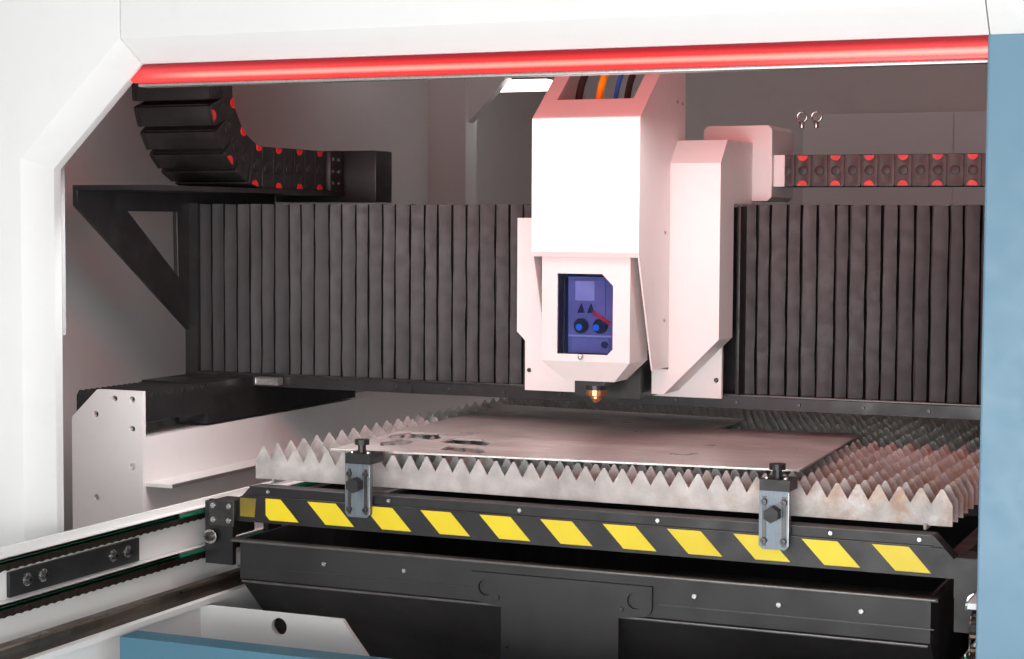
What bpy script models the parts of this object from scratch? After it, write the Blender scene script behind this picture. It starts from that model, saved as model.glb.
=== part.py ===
"""Fiber laser cutting machine with a shuttle pallet, seen from its pallet end.

Metres, +Z up. X runs across the machine, Y runs into it, the floor is z = 0.
The front wall's outer face lies at y = 0 and the pallet's centre line at x = 0.
"""
import math

import bmesh
import bpy
from mathutils import Matrix, Vector

# Gaps shared by every sub-part
TOUCH = 0.0003
WELD = 0.00001
OVERRUN = 0.05
BITE = 0.002

# Cabin and its floor frame
CABIN_HALF_WIDTH = 1.80
CABIN_LENGTH = 4.65
CABIN_HEIGHT = 2.50
WALL = 0.04
FRONT_WALL = 0.07
BASE_HEIGHT = 0.12
BASE_LIP = 0.03
BASE_MEMBER = 0.17
BASE_SIDE_MEMBER = 0.62
BASE_BAYS = 4
PANEL_GAP = 0.0015
SEAM_WIDTH = 0.006
SEAM_DEPTH = 0.004
SIDE_PANELS = 4

# Doorway in the front wall
DOORWAY_LEFT = -1.016
DOORWAY_RIGHT = 1.45
DOORWAY_TOP = 1.778
DOORWAY_CORNER_WIDTH = 0.244
DOORWAY_CORNER_HEIGHT = 0.233
DOORWAY_BEVEL = 0.047
LINTEL_JOINT_X = 0.892
BLUE_PANEL_LEFT = 0.889
BLUE_PANEL_THICKNESS = 0.04
BLUE_PANEL_NOTCH = 0.012
BLUE_PANEL_NOTCH_TOP = 0.640
LOWER_PANEL_HALF_WIDTH = 0.765
LOWER_PANEL_TOP = 0.597
LOWER_PANEL_FRONT = -0.025
LOWER_PANEL_BACK = 0.035
LOWER_PANEL_SHEET = 0.003
LOWER_PANEL_LIP = 0.05

# Red light bar under the lintel
LIGHT_BAR_LEFT = -0.79
LIGHT_BAR_FRONT = 0.053
LIGHT_BAR_DEPTH = 0.042
LIGHT_BAR_HEIGHT = 0.036
LIGHT_BAR_LIP = 0.008
LIGHT_BAR_LIP_THICKNESS = 0.004

# Lift door, shown raised behind the lintel
DOOR_LEFT = -1.035
DOOR_RIGHT = 0.965
DOOR_BOTTOM = 1.745
DOOR_HEIGHT = 0.69
DOOR_FRONT = 0.1003
DOOR_THICKNESS = 0.027
DOOR_WINDOW_MARGIN = 0.16
DOOR_WINDOW_DEPTH = 0.008
GUIDE_MOUTH = 0.015
GUIDE_WALL = 0.022
GUIDE_BOTTOM = 1.18

# Bed: two long beams that carry the gantry
BEAM_INNER_X = 1.175
BEAM_WIDTH = 0.203
BEAM_TOP = 0.90
BEAM_START = 0.655
BEAM_END = 4.45
BEAM_LEDGE_Z = 0.79
BEAM_LEDGE_WIDTH = 0.075
BEAM_LEDGE_THICKNESS = 0.008
END_PLATE_THICKNESS = 0.012
END_PLATE_TOP = 1.012
END_PLATE_CORNER_WIDTH = 0.075
END_PLATE_CORNER_HEIGHT = 0.07
END_PLATE_HOLE_RADIUS = 0.008
END_PLATE_HOLE_SHARES = ((0.62, 0.98), (0.35, 0.94), (0.87, 0.98), (0.87, 0.91), (0.87, 0.82), (0.35, 0.74))
GUIDE_RAIL_WIDTH = 0.034
GUIDE_RAIL_HEIGHT = 0.035
GUIDE_RAIL_INSET = 0.105
GUIDE_RAIL_WAIST_SHARE = 0.72
GUIDE_RAIL_WAIST_SHARES = (0.45, 0.65)

# Gantry
GANTRY_FRONT = 1.16
GANTRY_BEAM_FRONT = 1.24
GANTRY_BEAM_DEPTH = 0.36
GANTRY_BEAM_HALF_LENGTH = 1.346
GANTRY_BEAM_BOTTOM = 1.0453
GANTRY_BEAM_HEIGHT = 0.225
GANTRY_RIB_DEPTH = 0.012
GANTRY_RIBS = 7
TRUCK_START = 0.93
TRUCK_END = 1.72
TRUCK_BOTTOM = 0.906
TRUCK_SIDE_GAP = 0.004
TRUCK_BEVEL = 0.012
TRUCK_FRONT_TOP = 1.010
APRON_BOTTOM = 0.985
APRON_LIP_TOP = 1.018
APRON_LIP_FRONT = 1.15
APRON_TOP = 1.46
APRON_THICKNESS = 0.024
GANTRY_END_THICKNESS = 0.040
GANTRY_END_TOP = 1.468

# Pleated bellows
BELLOWS_TOP = 1.465
BELLOWS_DEPTH = 0.050
BELLOWS_SKIN = 0.003
BELLOWS_PLEAT = 0.0386
WAY_PLEAT = 0.0225
WAY_PLEAT_HEIGHT = 0.100
WAY_PLEAT_DEPTH = 0.012

# Left cable shelf and the energy chain on it
SHELF_FRONT = 0.665
SHELF_TOP = 1.506
SHELF_THICKNESS = 0.012
SHELF_WIDTH = 0.242
SHELF_END = 1.60
GUSSET_NOSE = 0.049
GUSSET_THICKNESS = 0.012
GUSSET_FOOT_Z = 1.128
GUSSET_BAND = 0.058
GUSSET_SIDE_SHARE = 0.60
GUSSET_SLOPE_SHARE = 0.55
CHAIN_THICKNESS = 0.110
CHAIN_WIDTH = 0.234
CHAIN_BEND_Y = 1.18
CHAIN_BEND_RADIUS = 0.22
CHAIN_END_Y = 1.58
CHAIN_FIXED_Y = 2.55
CHAIN_LINK = 0.075
CHAIN_NOTCH = 0.006
HANGER_LENGTH = 0.14

# Energy chain of the carriage
X_CHAIN_START = 0.2263
X_CHAIN_BEND_X = 1.10
X_CHAIN_THICKNESS = 0.075
X_CHAIN_TOP_Z = 1.585
X_CHAIN_FRONT = 1.27
X_CHAIN_WIDTH = 0.11
X_CHAIN_FIXED_X = 0.20

# Carriage and its cowls
CARRIAGE_LEFT = -0.393
CARRIAGE_RIGHT = 0.128
CARRIAGE_FRONT = 1.098
CARRIAGE_PLATE = 0.012
CARRIAGE_TOP = 1.432
CARRIAGE_BOTTOM = 1.012
CARRIAGE_STEP = 0.022
CARRIAGE_STEP_Z = 1.155
CARRIAGE_HOLE_PLACES = ((-0.360, 1.061), (0.115, 1.055))
CARRIAGE_HOLE_RADIUS = 0.006
CARRIAGE_BLOCK_LEFT = -0.36
CARRIAGE_BLOCK_RIGHT = 0.08
CARRIAGE_BLOCK_BOTTOM = 1.06
CARRIAGE_BLOCK_TOP = 1.25
COWL_LEFT = -0.222
COWL_RIGHT = 0.033
COWL_FRONT = 0.78
COWL_BACK = 1.0977
COWL_SHEET = 0.004
COWL_BOTTOM = 1.356
COWL_KNEE_Z = 1.653
COWL_TOP = 1.80
COWL_SLOPE_DEPTH = 0.19
COWL_SKIRT_Z = 1.09
COWL_SKIRT_STEP = 0.10
COWL_SLOT_MARGIN = 0.036
COWL_SLOT_START_SHARE = 0.30
SIDE_COWL_RIGHT = 0.153
SIDE_COWL_FRONT = 0.99
SIDE_COWL_BACK = 1.2495
SIDE_COWL_BOTTOM = 1.027
SIDE_COWL_TAB_LEFT = -0.007
SIDE_COWL_TAB_TOP = 1.085
SIDE_COWL_KNEE_Z = 1.558
SIDE_COWL_TOP = 1.612
SIDE_COWL_SLOPE_DEPTH = 0.05
SIDE_COWL_FOOT_CORNER = 0.13
REAR_BOX_LEFT = 0.03
REAR_BOX_RIGHT = 0.200
REAR_BOX_FRONT = 1.2498
REAR_BOX_BACK = 1.445
REAR_BOX_BOTTOM = 1.475
REAR_BOX_TOP = 1.655
REAR_BOX_BEVEL = 0.01
X_CHAIN_MOUNT = 0.026

# Cutting head
HEAD_LEFT = -0.200
HEAD_RIGHT = 0.010
HEAD_FRONT = 0.790
HEAD_BACK = 0.910
HEAD_SLIDE_BOTTOM = 1.13
HEAD_SLIDE_TOP = 1.29
HEAD_TOP = 1.350
HEAD_BOTTOM = 1.066
HEAD_SHEET = 0.005
HEAD_CORNER = 0.046
HEAD_FRONT_SLOPE = 0.030
HEAD_BACK_SLOPE = 0.010
WINDOW_LEFT = -0.163
WINDOW_RIGHT = -0.030
WINDOW_TOP = 1.308
WINDOW_BOTTOM = 1.128
WINDOW_CORNER = 0.026
WINDOW_THICKNESS = 0.003
HEAD_BODY_LEFT = -0.158
HEAD_BODY_RIGHT = -0.032
HEAD_BODY_FRONT = 0.832
HEAD_BODY_BACK = 0.892
HEAD_BODY_TOP = 1.30
HEAD_BODY_BOTTOM = 1.044
KNOB_RADIUS = 0.017
KNOB_LENGTH = 0.012
KNOB_Z = 1.19
KNOB_SPREAD = 0.046
NOZZLE_Y = 0.862
NUT_RADIUS = 0.024
NUT_HEIGHT = 0.012
NOZZLE_RADIUS = 0.013
NOZZLE_TIP_RADIUS = 0.004
NOZZLE_TIP_Z = 1.014
NOZZLE_COLLAR_HEIGHT = 0.008
FOOT_BLOCK_LEFT = -0.182
FOOT_BLOCK_RIGHT = -0.021
FOOT_BLOCK_FRONT = 0.950
FOOT_BLOCK_BOTTOM = 1.018
FOOT_BLOCK_TOP = 1.120
FOOT_BLOCK_WEB = 0.03

# Pallet
PALLET_FRONT = 0.43
PALLET_LENGTH = 3.07
PALLET_HALF_WIDTH = 0.79
PALLET_BEAM_BOTTOM = 0.76
PALLET_BEAM_TOP = 0.838
PALLET_BEAM_THICKNESS = 0.05
PALLET_SIDE_THICKNESS = 0.03
PALLET_CORNER = 0.045
STRIPE_BAND_TOP = 0.816
STRIPE_BAND_DEPTH = 0.006
PALLET_CROSS_MEMBERS = 3
PALLET_CROSS_WIDTH = 0.05
PALLET_CROSS_HEIGHT = 0.03
BRACKET_OUTER_X = 0.859
BRACKET_BOTTOM = 0.660
BRACKET_TOP = 0.800
BRACKET_THICKNESS = 0.014
BRACKET_BLOCK_HEIGHT = 0.075
BRACKET_BLOCK_DEPTH = 0.09
ROLLER_RADIUS = 0.030
ROLLER_WIDTH = 0.026
ROLLER_X = 0.829
ROLLER_INSET = 0.16

# Slats and the sheet on them
SLAT_FIRST_Y = 0.50
SLAT_SPACING = 0.06
SLAT_COUNT = 49
FINE_SLATS = 3
SLAT_THICKNESS = 0.003
SLAT_HALF_LENGTH = 0.77
SLAT_TOOTH = 0.040
COARSE_TOOTH = 0.120
SLAT_TIP_Z = 0.920
SLAT_VALLEY_Z = 0.888
SLAT_BOTTOM_Z = 0.846
COMB_X = 0.72
COMB_THICKNESS = 0.006
COMB_BOTTOM_Z = 0.8383
COMB_TOP_Z = 0.850
SHEET_THICKNESS = 0.004

# Clamps on the pallet's front beam
CLAMP_LEFT_X = -0.469
CLAMP_RIGHT_X = 0.443
CLAMP_WIDTH = 0.060
CLAMP_PLATE_THICKNESS = 0.012
CLAMP_PLATE_BOTTOM = 0.791
CLAMP_PLATE_TOP = 0.905
CLAMP_JAW_HEIGHT = 0.022
CLAMP_JAW_REACH = 0.060
CLAMP_JAW_BOTTOM = 0.9053
CLAMP_STEM_RADIUS = 0.009
CLAMP_STEM_HEIGHT = 0.020
CLAMP_CAP_RADIUS = 0.016
CLAMP_CAP_HEIGHT = 0.009
CLAMP_KNOB_RADIUS = 0.016
CLAMP_KNOB_LENGTH = 0.026
CLAMP_KNOB_Z = 0.862
CLAMP_KNOB_LOBES = 6
CLAMP_KNOB_WAIST_SHARE = 0.86

# Scrap chute under the pallet
CHUTE_FRONT = 0.40
CHUTE_BACK = 3.46
CHUTE_HALF_WIDTH = 0.750
CHUTE_TOP = 0.727
CHUTE_KNEE_Z = 0.640
CHUTE_BOTTOM = 0.1203
CHUTE_FLOOR_START = 0.95
CHUTE_SHEET = 0.006
CHUTE_LIP = 0.016
CHUTE_LIP_THICKNESS = 0.005
TOW_PLATE_LEFT = -0.192
TOW_PLATE_RIGHT = 0.204
TOW_PLATE_THICKNESS = 0.008
TOW_PLATE_TOP = 0.702
TOW_PLATE_BOTTOM = 0.45
TOW_EAR_WIDTH = 0.070
TOW_EAR_HEIGHT = 0.062
TOW_EAR_ROUNDING = 0.018
TOW_EAR_DROP = 0.006
TOW_HOLE_RADIUS = 0.017

# Pallet rails, inside the cabin and outside it
RAIL_WEB_X = 0.887
RAIL_WEB = 0.010
RAIL_TOP = 0.797
RAIL_BOX_INNER_X = 0.815
RAIL_BOX_BOTTOM = 0.36
RAIL_FLANGE_Z = 0.600
RAIL_FLANGE_THICKNESS = 0.012
RAIL_FLANGE_X = 0.797
RAIL_JOINT_Y = 0.34
RIGHT_JOINT_Y = 0.10
INNER_RAIL_END = 3.85
OUTER_RAIL_START = -3.35
GUIDE_LIP_X = 0.866
GUIDE_LIP_THICKNESS = 0.010
UPPER_GUIDE_Z = 0.784
LOWER_GUIDE_Z = 0.697
CHAIN_STRAND_HEIGHT = 0.020
CHAIN_TURN = 0.07
CHAIN_STRAND_OUTER_X = 0.8865
CHAIN_STRAND_INNER_X = 0.868
RUN_RAIL_X = 0.829
RUN_RAIL_WIDTH = 0.030
RUN_RAIL_HEIGHT = 0.0314
LEG_SIZE = 0.08
LEG_FOOT = 0.14
LEG_FOOT_THICKNESS = 0.015
OUTER_LEG_PLACES = (-3.25, -1.75, -0.25)
INNER_LEG_PLACES = (1.19, 2.31, 3.43)
END_BEAM_HEIGHT = 0.18
END_BEAM_DEPTH = 0.08
WEB_GUSSET_RIGHT = -0.45
WEB_GUSSET_FOOT_RIGHT = -0.33
WEB_GUSSET_TOP = 0.585
WEB_GUSSET_SHOULDER_Z = 0.565
WEB_GUSSET_BOTTOM = 0.42
WEB_GUSSET_THICKNESS = 0.012
WEB_GUSSET_HOLE_X = -0.618
WEB_GUSSET_HOLE_Z = 0.556
WEB_GUSSET_HOLE_RADIUS = 0.019

# Cabin interior behind the gantry
COLUMN_X = -1.7597
COLUMN_Y = 3.40
COLUMN_WIDTH = 0.10
COLUMN_DEPTH = 0.16
GUSSET_ROOF_LENGTH = 0.62
GUSSET_ROOF_HEIGHT = 0.66
GUSSET_ROOF_THICKNESS = 0.05
LAMP_LENGTH = 0.30
LAMP_WIDTH = 0.11
LAMP_HEIGHT = 0.035
LAMP_Z = 1.93
CABINET_LEFT = -0.42
CABINET_RIGHT = 1.30
CABINET_FRONT = 3.95
CABINET_BOTTOM = 1.10
CABINET_TOP = 1.84
CABINET_SEAMS = 2

ROUND_STEPS = 16
SMALL_ROUND_STEPS = 10

WHITE = ((0.84, 0.85, 0.84, 1.0), 0.45, 0.0)
PALE_GREY = ((0.55, 0.55, 0.54, 1.0), 0.50, 0.0)
BLUE = ((0.16, 0.30, 0.40, 1.0), 0.45, 0.0)
BLACK = ((0.015, 0.015, 0.016, 1.0), 0.50, 0.0)
FABRIC = ((0.03, 0.03, 0.032, 1.0), 0.75, 0.0)
PLASTIC = ((0.02, 0.02, 0.02, 1.0), 0.55, 0.0)
STEEL = ((0.30, 0.28, 0.26, 1.0), 0.35, 1.0)
ZINC = ((0.52, 0.50, 0.48, 1.0), 0.50, 0.6)
DARK_STEEL = ((0.10, 0.095, 0.09, 1.0), 0.40, 0.9)
RED_GLOW = ((0.80, 0.03, 0.02, 1.0), 0.30, 0.0)
GLASS_BLUE = ((0.07, 0.12, 0.35, 1.0), 0.15, 0.0)
COPPER = ((0.70, 0.32, 0.14, 1.0), 0.30, 1.0)
CHROME = ((0.70, 0.70, 0.70, 1.0), 0.15, 1.0)
LAMP_WHITE = ((0.95, 0.95, 0.92, 1.0), 0.40, 0.0)

FACING = {
    "X": Matrix(((0, 0, 1, 0), (1, 0, 0, 0), (0, 1, 0, 0), (0, 0, 0, 1))),
    "Y": Matrix(((1, 0, 0, 0), (0, 0, 1, 0), (0, 1, 0, 0), (0, 0, 0, 1))),
    "Z": Matrix.Identity(4),
}


def clear_scene():
    """Start from an empty scene."""
    for thing in list(bpy.data.objects):
        bpy.data.objects.remove(thing, do_unlink=True)


def collection(name):
    """A collection of this name in the scene."""
    folder = bpy.data.collections.new(name)
    bpy.context.scene.collection.children.link(folder)
    return folder


def material(name, look):
    """A Principled material from a colour, a roughness and a metallic value."""
    colour, roughness, metallic = look
    paint = bpy.data.materials.new(name)
    paint.use_nodes = True
    shader = paint.node_tree.nodes["Principled BSDF"]
    shader.inputs["Base Color"].default_value = colour
    shader.inputs["Roughness"].default_value = roughness
    shader.inputs["Metallic"].default_value = metallic
    paint.diffuse_color = colour
    return paint


def tidy(mesh):
    """Weld loose seams and turn every face outwards."""
    shape = bmesh.new()
    shape.from_mesh(mesh)
    bmesh.ops.remove_doubles(shape, verts=shape.verts, dist=WELD)
    bmesh.ops.dissolve_degenerate(shape, edges=shape.edges, dist=WELD)
    bmesh.ops.recalc_face_normals(shape, faces=shape.faces)
    shape.to_mesh(mesh)
    shape.free()
    return mesh


def evaluated_mesh(thing):
    """The mesh that an object shows with its modifiers."""
    bpy.context.view_layer.update()
    graph = bpy.context.evaluated_depsgraph_get()
    return bpy.data.meshes.new_from_object(thing.evaluated_get(graph))


def shape_object(name, mesh):
    """A mesh as an object in the scene, not yet part of the machine."""
    thing = bpy.data.objects.new(name, mesh)
    bpy.context.scene.collection.objects.link(thing)
    return thing


def plate(name, axis, start, end, *outlines):
    """A flat outline, with any holes in it, given thickness along one axis."""
    curve = bpy.data.curves.new(name, "CURVE")
    curve.dimensions = "2D"
    curve.fill_mode = "BOTH"
    curve.extrude = abs(end - start) / 2
    for outline in outlines:
        spline = curve.splines.new("POLY")
        spline.points.add(len(outline) - 1)
        for point, (u, v) in zip(spline.points, outline):
            point.co = (u, v, 0, 1)
        spline.use_cyclic_u = True
    drawing = shape_object(name, curve)
    mesh = evaluated_mesh(drawing)
    bpy.data.objects.remove(drawing, do_unlink=True)
    mesh.transform(FACING[axis] @ Matrix.Translation((0, 0, (start + end) / 2)))
    return shape_object(name, tidy(mesh))


def box(name, low, high):
    """A box between two corners."""
    low = Vector(low)
    high = Vector(high)
    shape = bmesh.new()
    bmesh.ops.create_cube(shape, size=1)
    bmesh.ops.scale(shape, vec=high - low, verts=shape.verts)
    bmesh.ops.translate(shape, vec=(high + low) / 2, verts=shape.verts)
    mesh = bpy.data.meshes.new(name)
    shape.to_mesh(mesh)
    shape.free()
    return shape_object(name, mesh)


def cylinder(name, axis, centre, radius, start, end, steps=ROUND_STEPS, end_radius=None):
    """A round bar or cone along one axis; centre is its place across that axis."""
    shape = bmesh.new()
    far_radius = radius if end_radius is None else end_radius
    bmesh.ops.create_cone(shape, cap_ends=True, segments=steps, radius1=radius,
                          radius2=far_radius, depth=end - start)
    place = Matrix.Translation((centre[0], centre[1], (start + end) / 2))
    mesh = bpy.data.meshes.new(name)
    shape.to_mesh(mesh)
    shape.free()
    mesh.transform(FACING[axis] @ place)
    return shape_object(name, tidy(mesh))


def combine(target, tools, operation):
    """Join, cut or keep the common part, and leave one mesh."""
    for tool in tools:
        change = target.modifiers.new(operation.title(), "BOOLEAN")
        change.operation = operation
        change.solver = "EXACT"
        change.object = tool
    mesh = evaluated_mesh(target)
    target.modifiers.clear()
    target.data = tidy(mesh)
    for tool in tools:
        bpy.data.objects.remove(tool, do_unlink=True)
    return target


def flattened(thing):
    """Merge the flat faces that a join has split."""
    shape = bmesh.new()
    shape.from_mesh(thing.data)
    bmesh.ops.dissolve_limit(shape, angle_limit=math.radians(0.1), verts=shape.verts, edges=shape.edges)
    shape.to_mesh(thing.data)
    shape.free()
    return thing


def join(target, *tools):
    return combine(target, tools, "UNION")


def cut(target, *tools):
    return combine(target, tools, "DIFFERENCE")


def keep(target, *tools):
    return combine(target, tools, "INTERSECT")


def bevel_edges(thing, chosen, width, segments=1):
    """Bevel the edges that the rule picks by their two ends."""
    shape = bmesh.new()
    shape.from_mesh(thing.data)
    bmesh.ops.dissolve_limit(shape, angle_limit=math.radians(1), verts=shape.verts, edges=shape.edges)
    edges = [edge for edge in shape.edges if chosen(edge.verts[0].co, edge.verts[1].co)]
    bmesh.ops.bevel(shape, geom=edges, offset=width, offset_type="OFFSET", segments=segments,
                    profile=0.5, affect="EDGES", clamp_overlap=True)
    shape.to_mesh(thing.data)
    shape.free()
    tidy(thing.data)
    return thing


def copy_of(thing, name):
    """A second object with its own copy of the mesh."""
    return shape_object(name, thing.data.copy())


def mirrored(thing, name):
    """The same piece on the other side of the machine's centre plane."""
    mesh = thing.data.copy()
    mesh.transform(Matrix.Scale(-1, 4, (1, 0, 0)))
    return shape_object(name, tidy(mesh))


def circle(u, v, radius, steps=ROUND_STEPS):
    """Points round a circle."""
    turn = math.tau / steps
    return [(u + radius * math.cos(i * turn), v + radius * math.sin(i * turn)) for i in range(steps)]


def arc(u, v, radius, first, last, steps):
    """Points along an arc, angles in degrees."""
    points = []
    for i in range(steps + 1):
        angle = math.radians(first + (last - first) * i / steps)
        points.append((u + radius * math.cos(angle), v + radius * math.sin(angle)))
    return points


def rectangle(low_u, low_v, high_u, high_v):
    return [(low_u, low_v), (high_u, low_v), (high_u, high_v), (low_u, high_v)]


def spread(first, last, count):
    """Evenly spaced places from first to last."""
    return [first + (last - first) * i / (count - 1) for i in range(count)]


class Machine:
    """Collects the finished pieces and the empties that carry moving groups."""

    def __init__(self):
        self.folder = collection("laser_cutting_machine")
        self.carriers = {}

    def carrier(self, name, place, parent=None):
        empty = bpy.data.objects.new(name, None)
        self.folder.objects.link(empty)
        empty.location = place
        bpy.context.view_layer.update()
        if parent:
            empty.parent = self.carriers[parent]
            empty.matrix_parent_inverse = self.carriers[parent].matrix_world.inverted()
        self.carriers[name] = empty
        bpy.context.view_layer.update()

    def add(self, thing, look, carried_by=None, origin=None):
        for folder in list(thing.users_collection):
            folder.objects.unlink(thing)
        self.folder.objects.link(thing)
        thing.data.name = thing.name
        thing.data.materials.clear()
        thing.data.materials.append(material(thing.name, look))
        thing.data.shade_smooth()
        thing.data.set_sharp_from_angle(angle=math.radians(30))
        if origin is not None:
            thing.data.transform(Matrix.Translation(-Vector(origin)))
            thing.location = origin
        if carried_by:
            carrier = self.carriers[carried_by]
            thing.parent = carrier
            thing.matrix_parent_inverse = carrier.matrix_world.inverted()
        return thing


# Casing

def base_frame():
    """Floor frame that carries the walls, the beams and the inner rails."""
    half = CABIN_HALF_WIDTH
    inner = half - BASE_SIDE_MEMBER
    outline = rectangle(-half, -BASE_LIP, half, CABIN_LENGTH)
    pitch = (CABIN_LENGTH - BASE_MEMBER) / BASE_BAYS
    bays = []
    for i in range(BASE_BAYS):
        start = (BASE_MEMBER - BASE_LIP) / 2 + i * pitch + BASE_MEMBER / 2
        bays.append(rectangle(-inner, start, inner, start + pitch - BASE_MEMBER))
    return plate("base_frame", "Z", 0, BASE_HEIGHT, outline, *bays)


def doorway_corners():
    """The doorway's outer corner points, from the left foot round to the right foot."""
    foot = BASE_HEIGHT - OVERRUN
    return [
        (DOORWAY_LEFT, foot),
        (DOORWAY_LEFT, DOORWAY_TOP - DOORWAY_CORNER_HEIGHT),
        (DOORWAY_LEFT + DOORWAY_CORNER_WIDTH, DOORWAY_TOP),
        (DOORWAY_RIGHT, DOORWAY_TOP),
        (DOORWAY_RIGHT, foot),
    ]


def mitre_direction():
    """Unit vector along the mitre between the slanted corner and the lintel."""
    slant = Vector((DOORWAY_CORNER_WIDTH, DOORWAY_CORNER_HEIGHT)).normalized()
    into_slant = Vector((slant.y, -slant.x))
    into_lintel = Vector((0, -1))
    return (into_slant + into_lintel).normalized()


def front_wall():
    """The whole front wall with its bevelled doorway, before its panels are parted."""
    half = CABIN_HALF_WIDTH
    foot = BASE_HEIGHT + TOUCH
    top = CABIN_HEIGHT - WALL
    corners = doorway_corners()
    outline = [(-half, foot), (corners[0][0], foot)] + corners[1:4] + [(corners[4][0], foot), (half, foot)]
    outline += [(half, top), (-half, top)]
    wall = plate("front_wall", "Y", 0, FRONT_WALL, outline)

    def on_doorway(a, b):
        for place in (a, b):
            if abs(place.y) > WELD or place.z > DOORWAY_TOP + WELD:
                return False
            if place.x < DOORWAY_LEFT - WELD or place.x > DOORWAY_RIGHT + WELD:
                return False
        return abs(a.z - b.z) > WELD or a.z > foot + WELD

    return bevel_edges(wall, on_doorway, DOORWAY_BEVEL)


def front_panels():
    """The front wall's three panels, parted at the mitre and at the lintel's joint."""
    wall = front_wall()
    half = CABIN_HALF_WIDTH + OVERRUN
    top = CABIN_HEIGHT
    corner_x = DOORWAY_LEFT + DOORWAY_CORNER_WIDTH
    reach = mitre_direction() * (DOORWAY_BEVEL + OVERRUN)
    tip = (corner_x + reach.x, DOORWAY_TOP + reach.y)
    gap = PANEL_GAP / 2
    left = [(-half, 0), (tip[0] - gap, 0), (tip[0] - gap, tip[1])]
    left += [(corner_x - gap, DOORWAY_TOP), (corner_x - gap, top), (-half, top)]
    middle = [(tip[0] + gap, tip[1]), (LINTEL_JOINT_X - gap, tip[1])]
    middle += [(LINTEL_JOINT_X - gap, top), (corner_x + gap, top), (corner_x + gap, DOORWAY_TOP)]
    right = rectangle(LINTEL_JOINT_X + gap, 0, half, top)
    panels = []
    for name, region in (("front_panel_left", left), ("lintel_panel", middle), ("front_panel_right", right)):
        slab = plate("region", "Y", -OVERRUN, FRONT_WALL + OVERRUN, region)
        panels.append(keep(copy_of(wall, name), slab))
    bpy.data.objects.remove(wall, do_unlink=True)
    return panels


def blue_side_panel():
    """Blue panel that fills the doorway's right end."""
    front = DOORWAY_BEVEL + TOUCH
    left = BLUE_PANEL_LEFT
    right = DOORWAY_RIGHT - DOORWAY_BEVEL - TOUCH
    foot = BASE_HEIGHT + TOUCH
    top = DOORWAY_TOP - DOORWAY_BEVEL - TOUCH
    step = left + BLUE_PANEL_NOTCH
    outline = [(step, foot), (right, foot), (right, top), (left, top), (left, BLUE_PANEL_NOTCH_TOP)]
    outline += [(step, BLUE_PANEL_NOTCH_TOP)]
    panel = plate("blue_side_panel", "Y", front, front + BLUE_PANEL_THICKNESS, outline)

    def upright_front_edge(a, b):
        return abs(a.x - b.x) < WELD and abs(a.z - b.z) > WELD and abs(a.x - BLUE_PANEL_LEFT) < WELD

    return bevel_edges(panel, upright_front_edge, COWL_SHEET, 2)


def lower_front_panel():
    """Blue folded panel between the rails, under the pallet's way out."""
    foot = BASE_HEIGHT + TOUCH
    sheet = LOWER_PANEL_SHEET
    top = LOWER_PANEL_TOP
    front = LOWER_PANEL_FRONT
    back = LOWER_PANEL_BACK
    outline = [(front, foot), (front + sheet, foot), (front + sheet, top - sheet), (back - sheet, top - sheet)]
    outline += [(back - sheet, top - LOWER_PANEL_LIP), (back, top - LOWER_PANEL_LIP), (back, top), (front, top)]
    return plate("lower_front_panel", "X", -LOWER_PANEL_HALF_WIDTH, LOWER_PANEL_HALF_WIDTH, outline)


def seamed_slab(name, axis, outer, inner, low, high, seams_along):
    """A wall slab whose outer face has shallow panel seams."""
    slab = plate(name, axis, min(outer, inner), max(outer, inner), rectangle(*low, *high))
    depth = SEAM_DEPTH if outer > inner else -SEAM_DEPTH
    cutters = []
    for place in seams_along:
        edge_low = (place - SEAM_WIDTH / 2, low[1] - OVERRUN)
        edge_high = (place + SEAM_WIDTH / 2, high[1] + OVERRUN)
        far = outer + (OVERRUN if outer > inner else -OVERRUN)
        near = outer - depth
        cutters.append(plate("seam", axis, min(near, far), max(near, far), rectangle(*edge_low, *edge_high)))
    return cut(slab, *cutters)


def side_wall(name, side):
    """A side wall, outside face at the cabin's half width."""
    low = (FRONT_WALL + TOUCH, BASE_HEIGHT + TOUCH)
    high = (CABIN_LENGTH - WALL - TOUCH, CABIN_HEIGHT - WALL)
    seams = spread(low[0], high[0], SIDE_PANELS + 1)[1:-1]
    outer = side * CABIN_HALF_WIDTH
    inner = side * (CABIN_HALF_WIDTH - WALL)
    return seamed_slab(name, "X", outer, inner, low, high, seams)


def back_wall():
    low = (-CABIN_HALF_WIDTH, BASE_HEIGHT + TOUCH)
    high = (CABIN_HALF_WIDTH, CABIN_HEIGHT - WALL)
    seams = spread(low[0], high[0], SIDE_PANELS)[1:-1]
    return seamed_slab("back_wall", "Y", CABIN_LENGTH, CABIN_LENGTH - WALL, low, high, seams)


def roof():
    """Roof slab with the hanger that holds the still end of the long energy chain."""
    low = (-CABIN_HALF_WIDTH, 0)
    high = (CABIN_HALF_WIDTH, CABIN_LENGTH)
    seams = spread(low[0], high[0], SIDE_PANELS)[1:-1]
    bottom = CABIN_HEIGHT - WALL + TOUCH
    slab = seamed_slab("roof", "Z", CABIN_HEIGHT, bottom, low, high, seams)
    left, right = chain_sides()
    hanger_bottom = SHELF_TOP + CHAIN_THICKNESS + 2 * CHAIN_BEND_RADIUS + 2 * TOUCH
    hanger = box("hanger", (left, CHAIN_FIXED_Y - HANGER_LENGTH, hanger_bottom),
                 (right, CHAIN_FIXED_Y, bottom + BITE))
    return join(slab, hanger)


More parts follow.
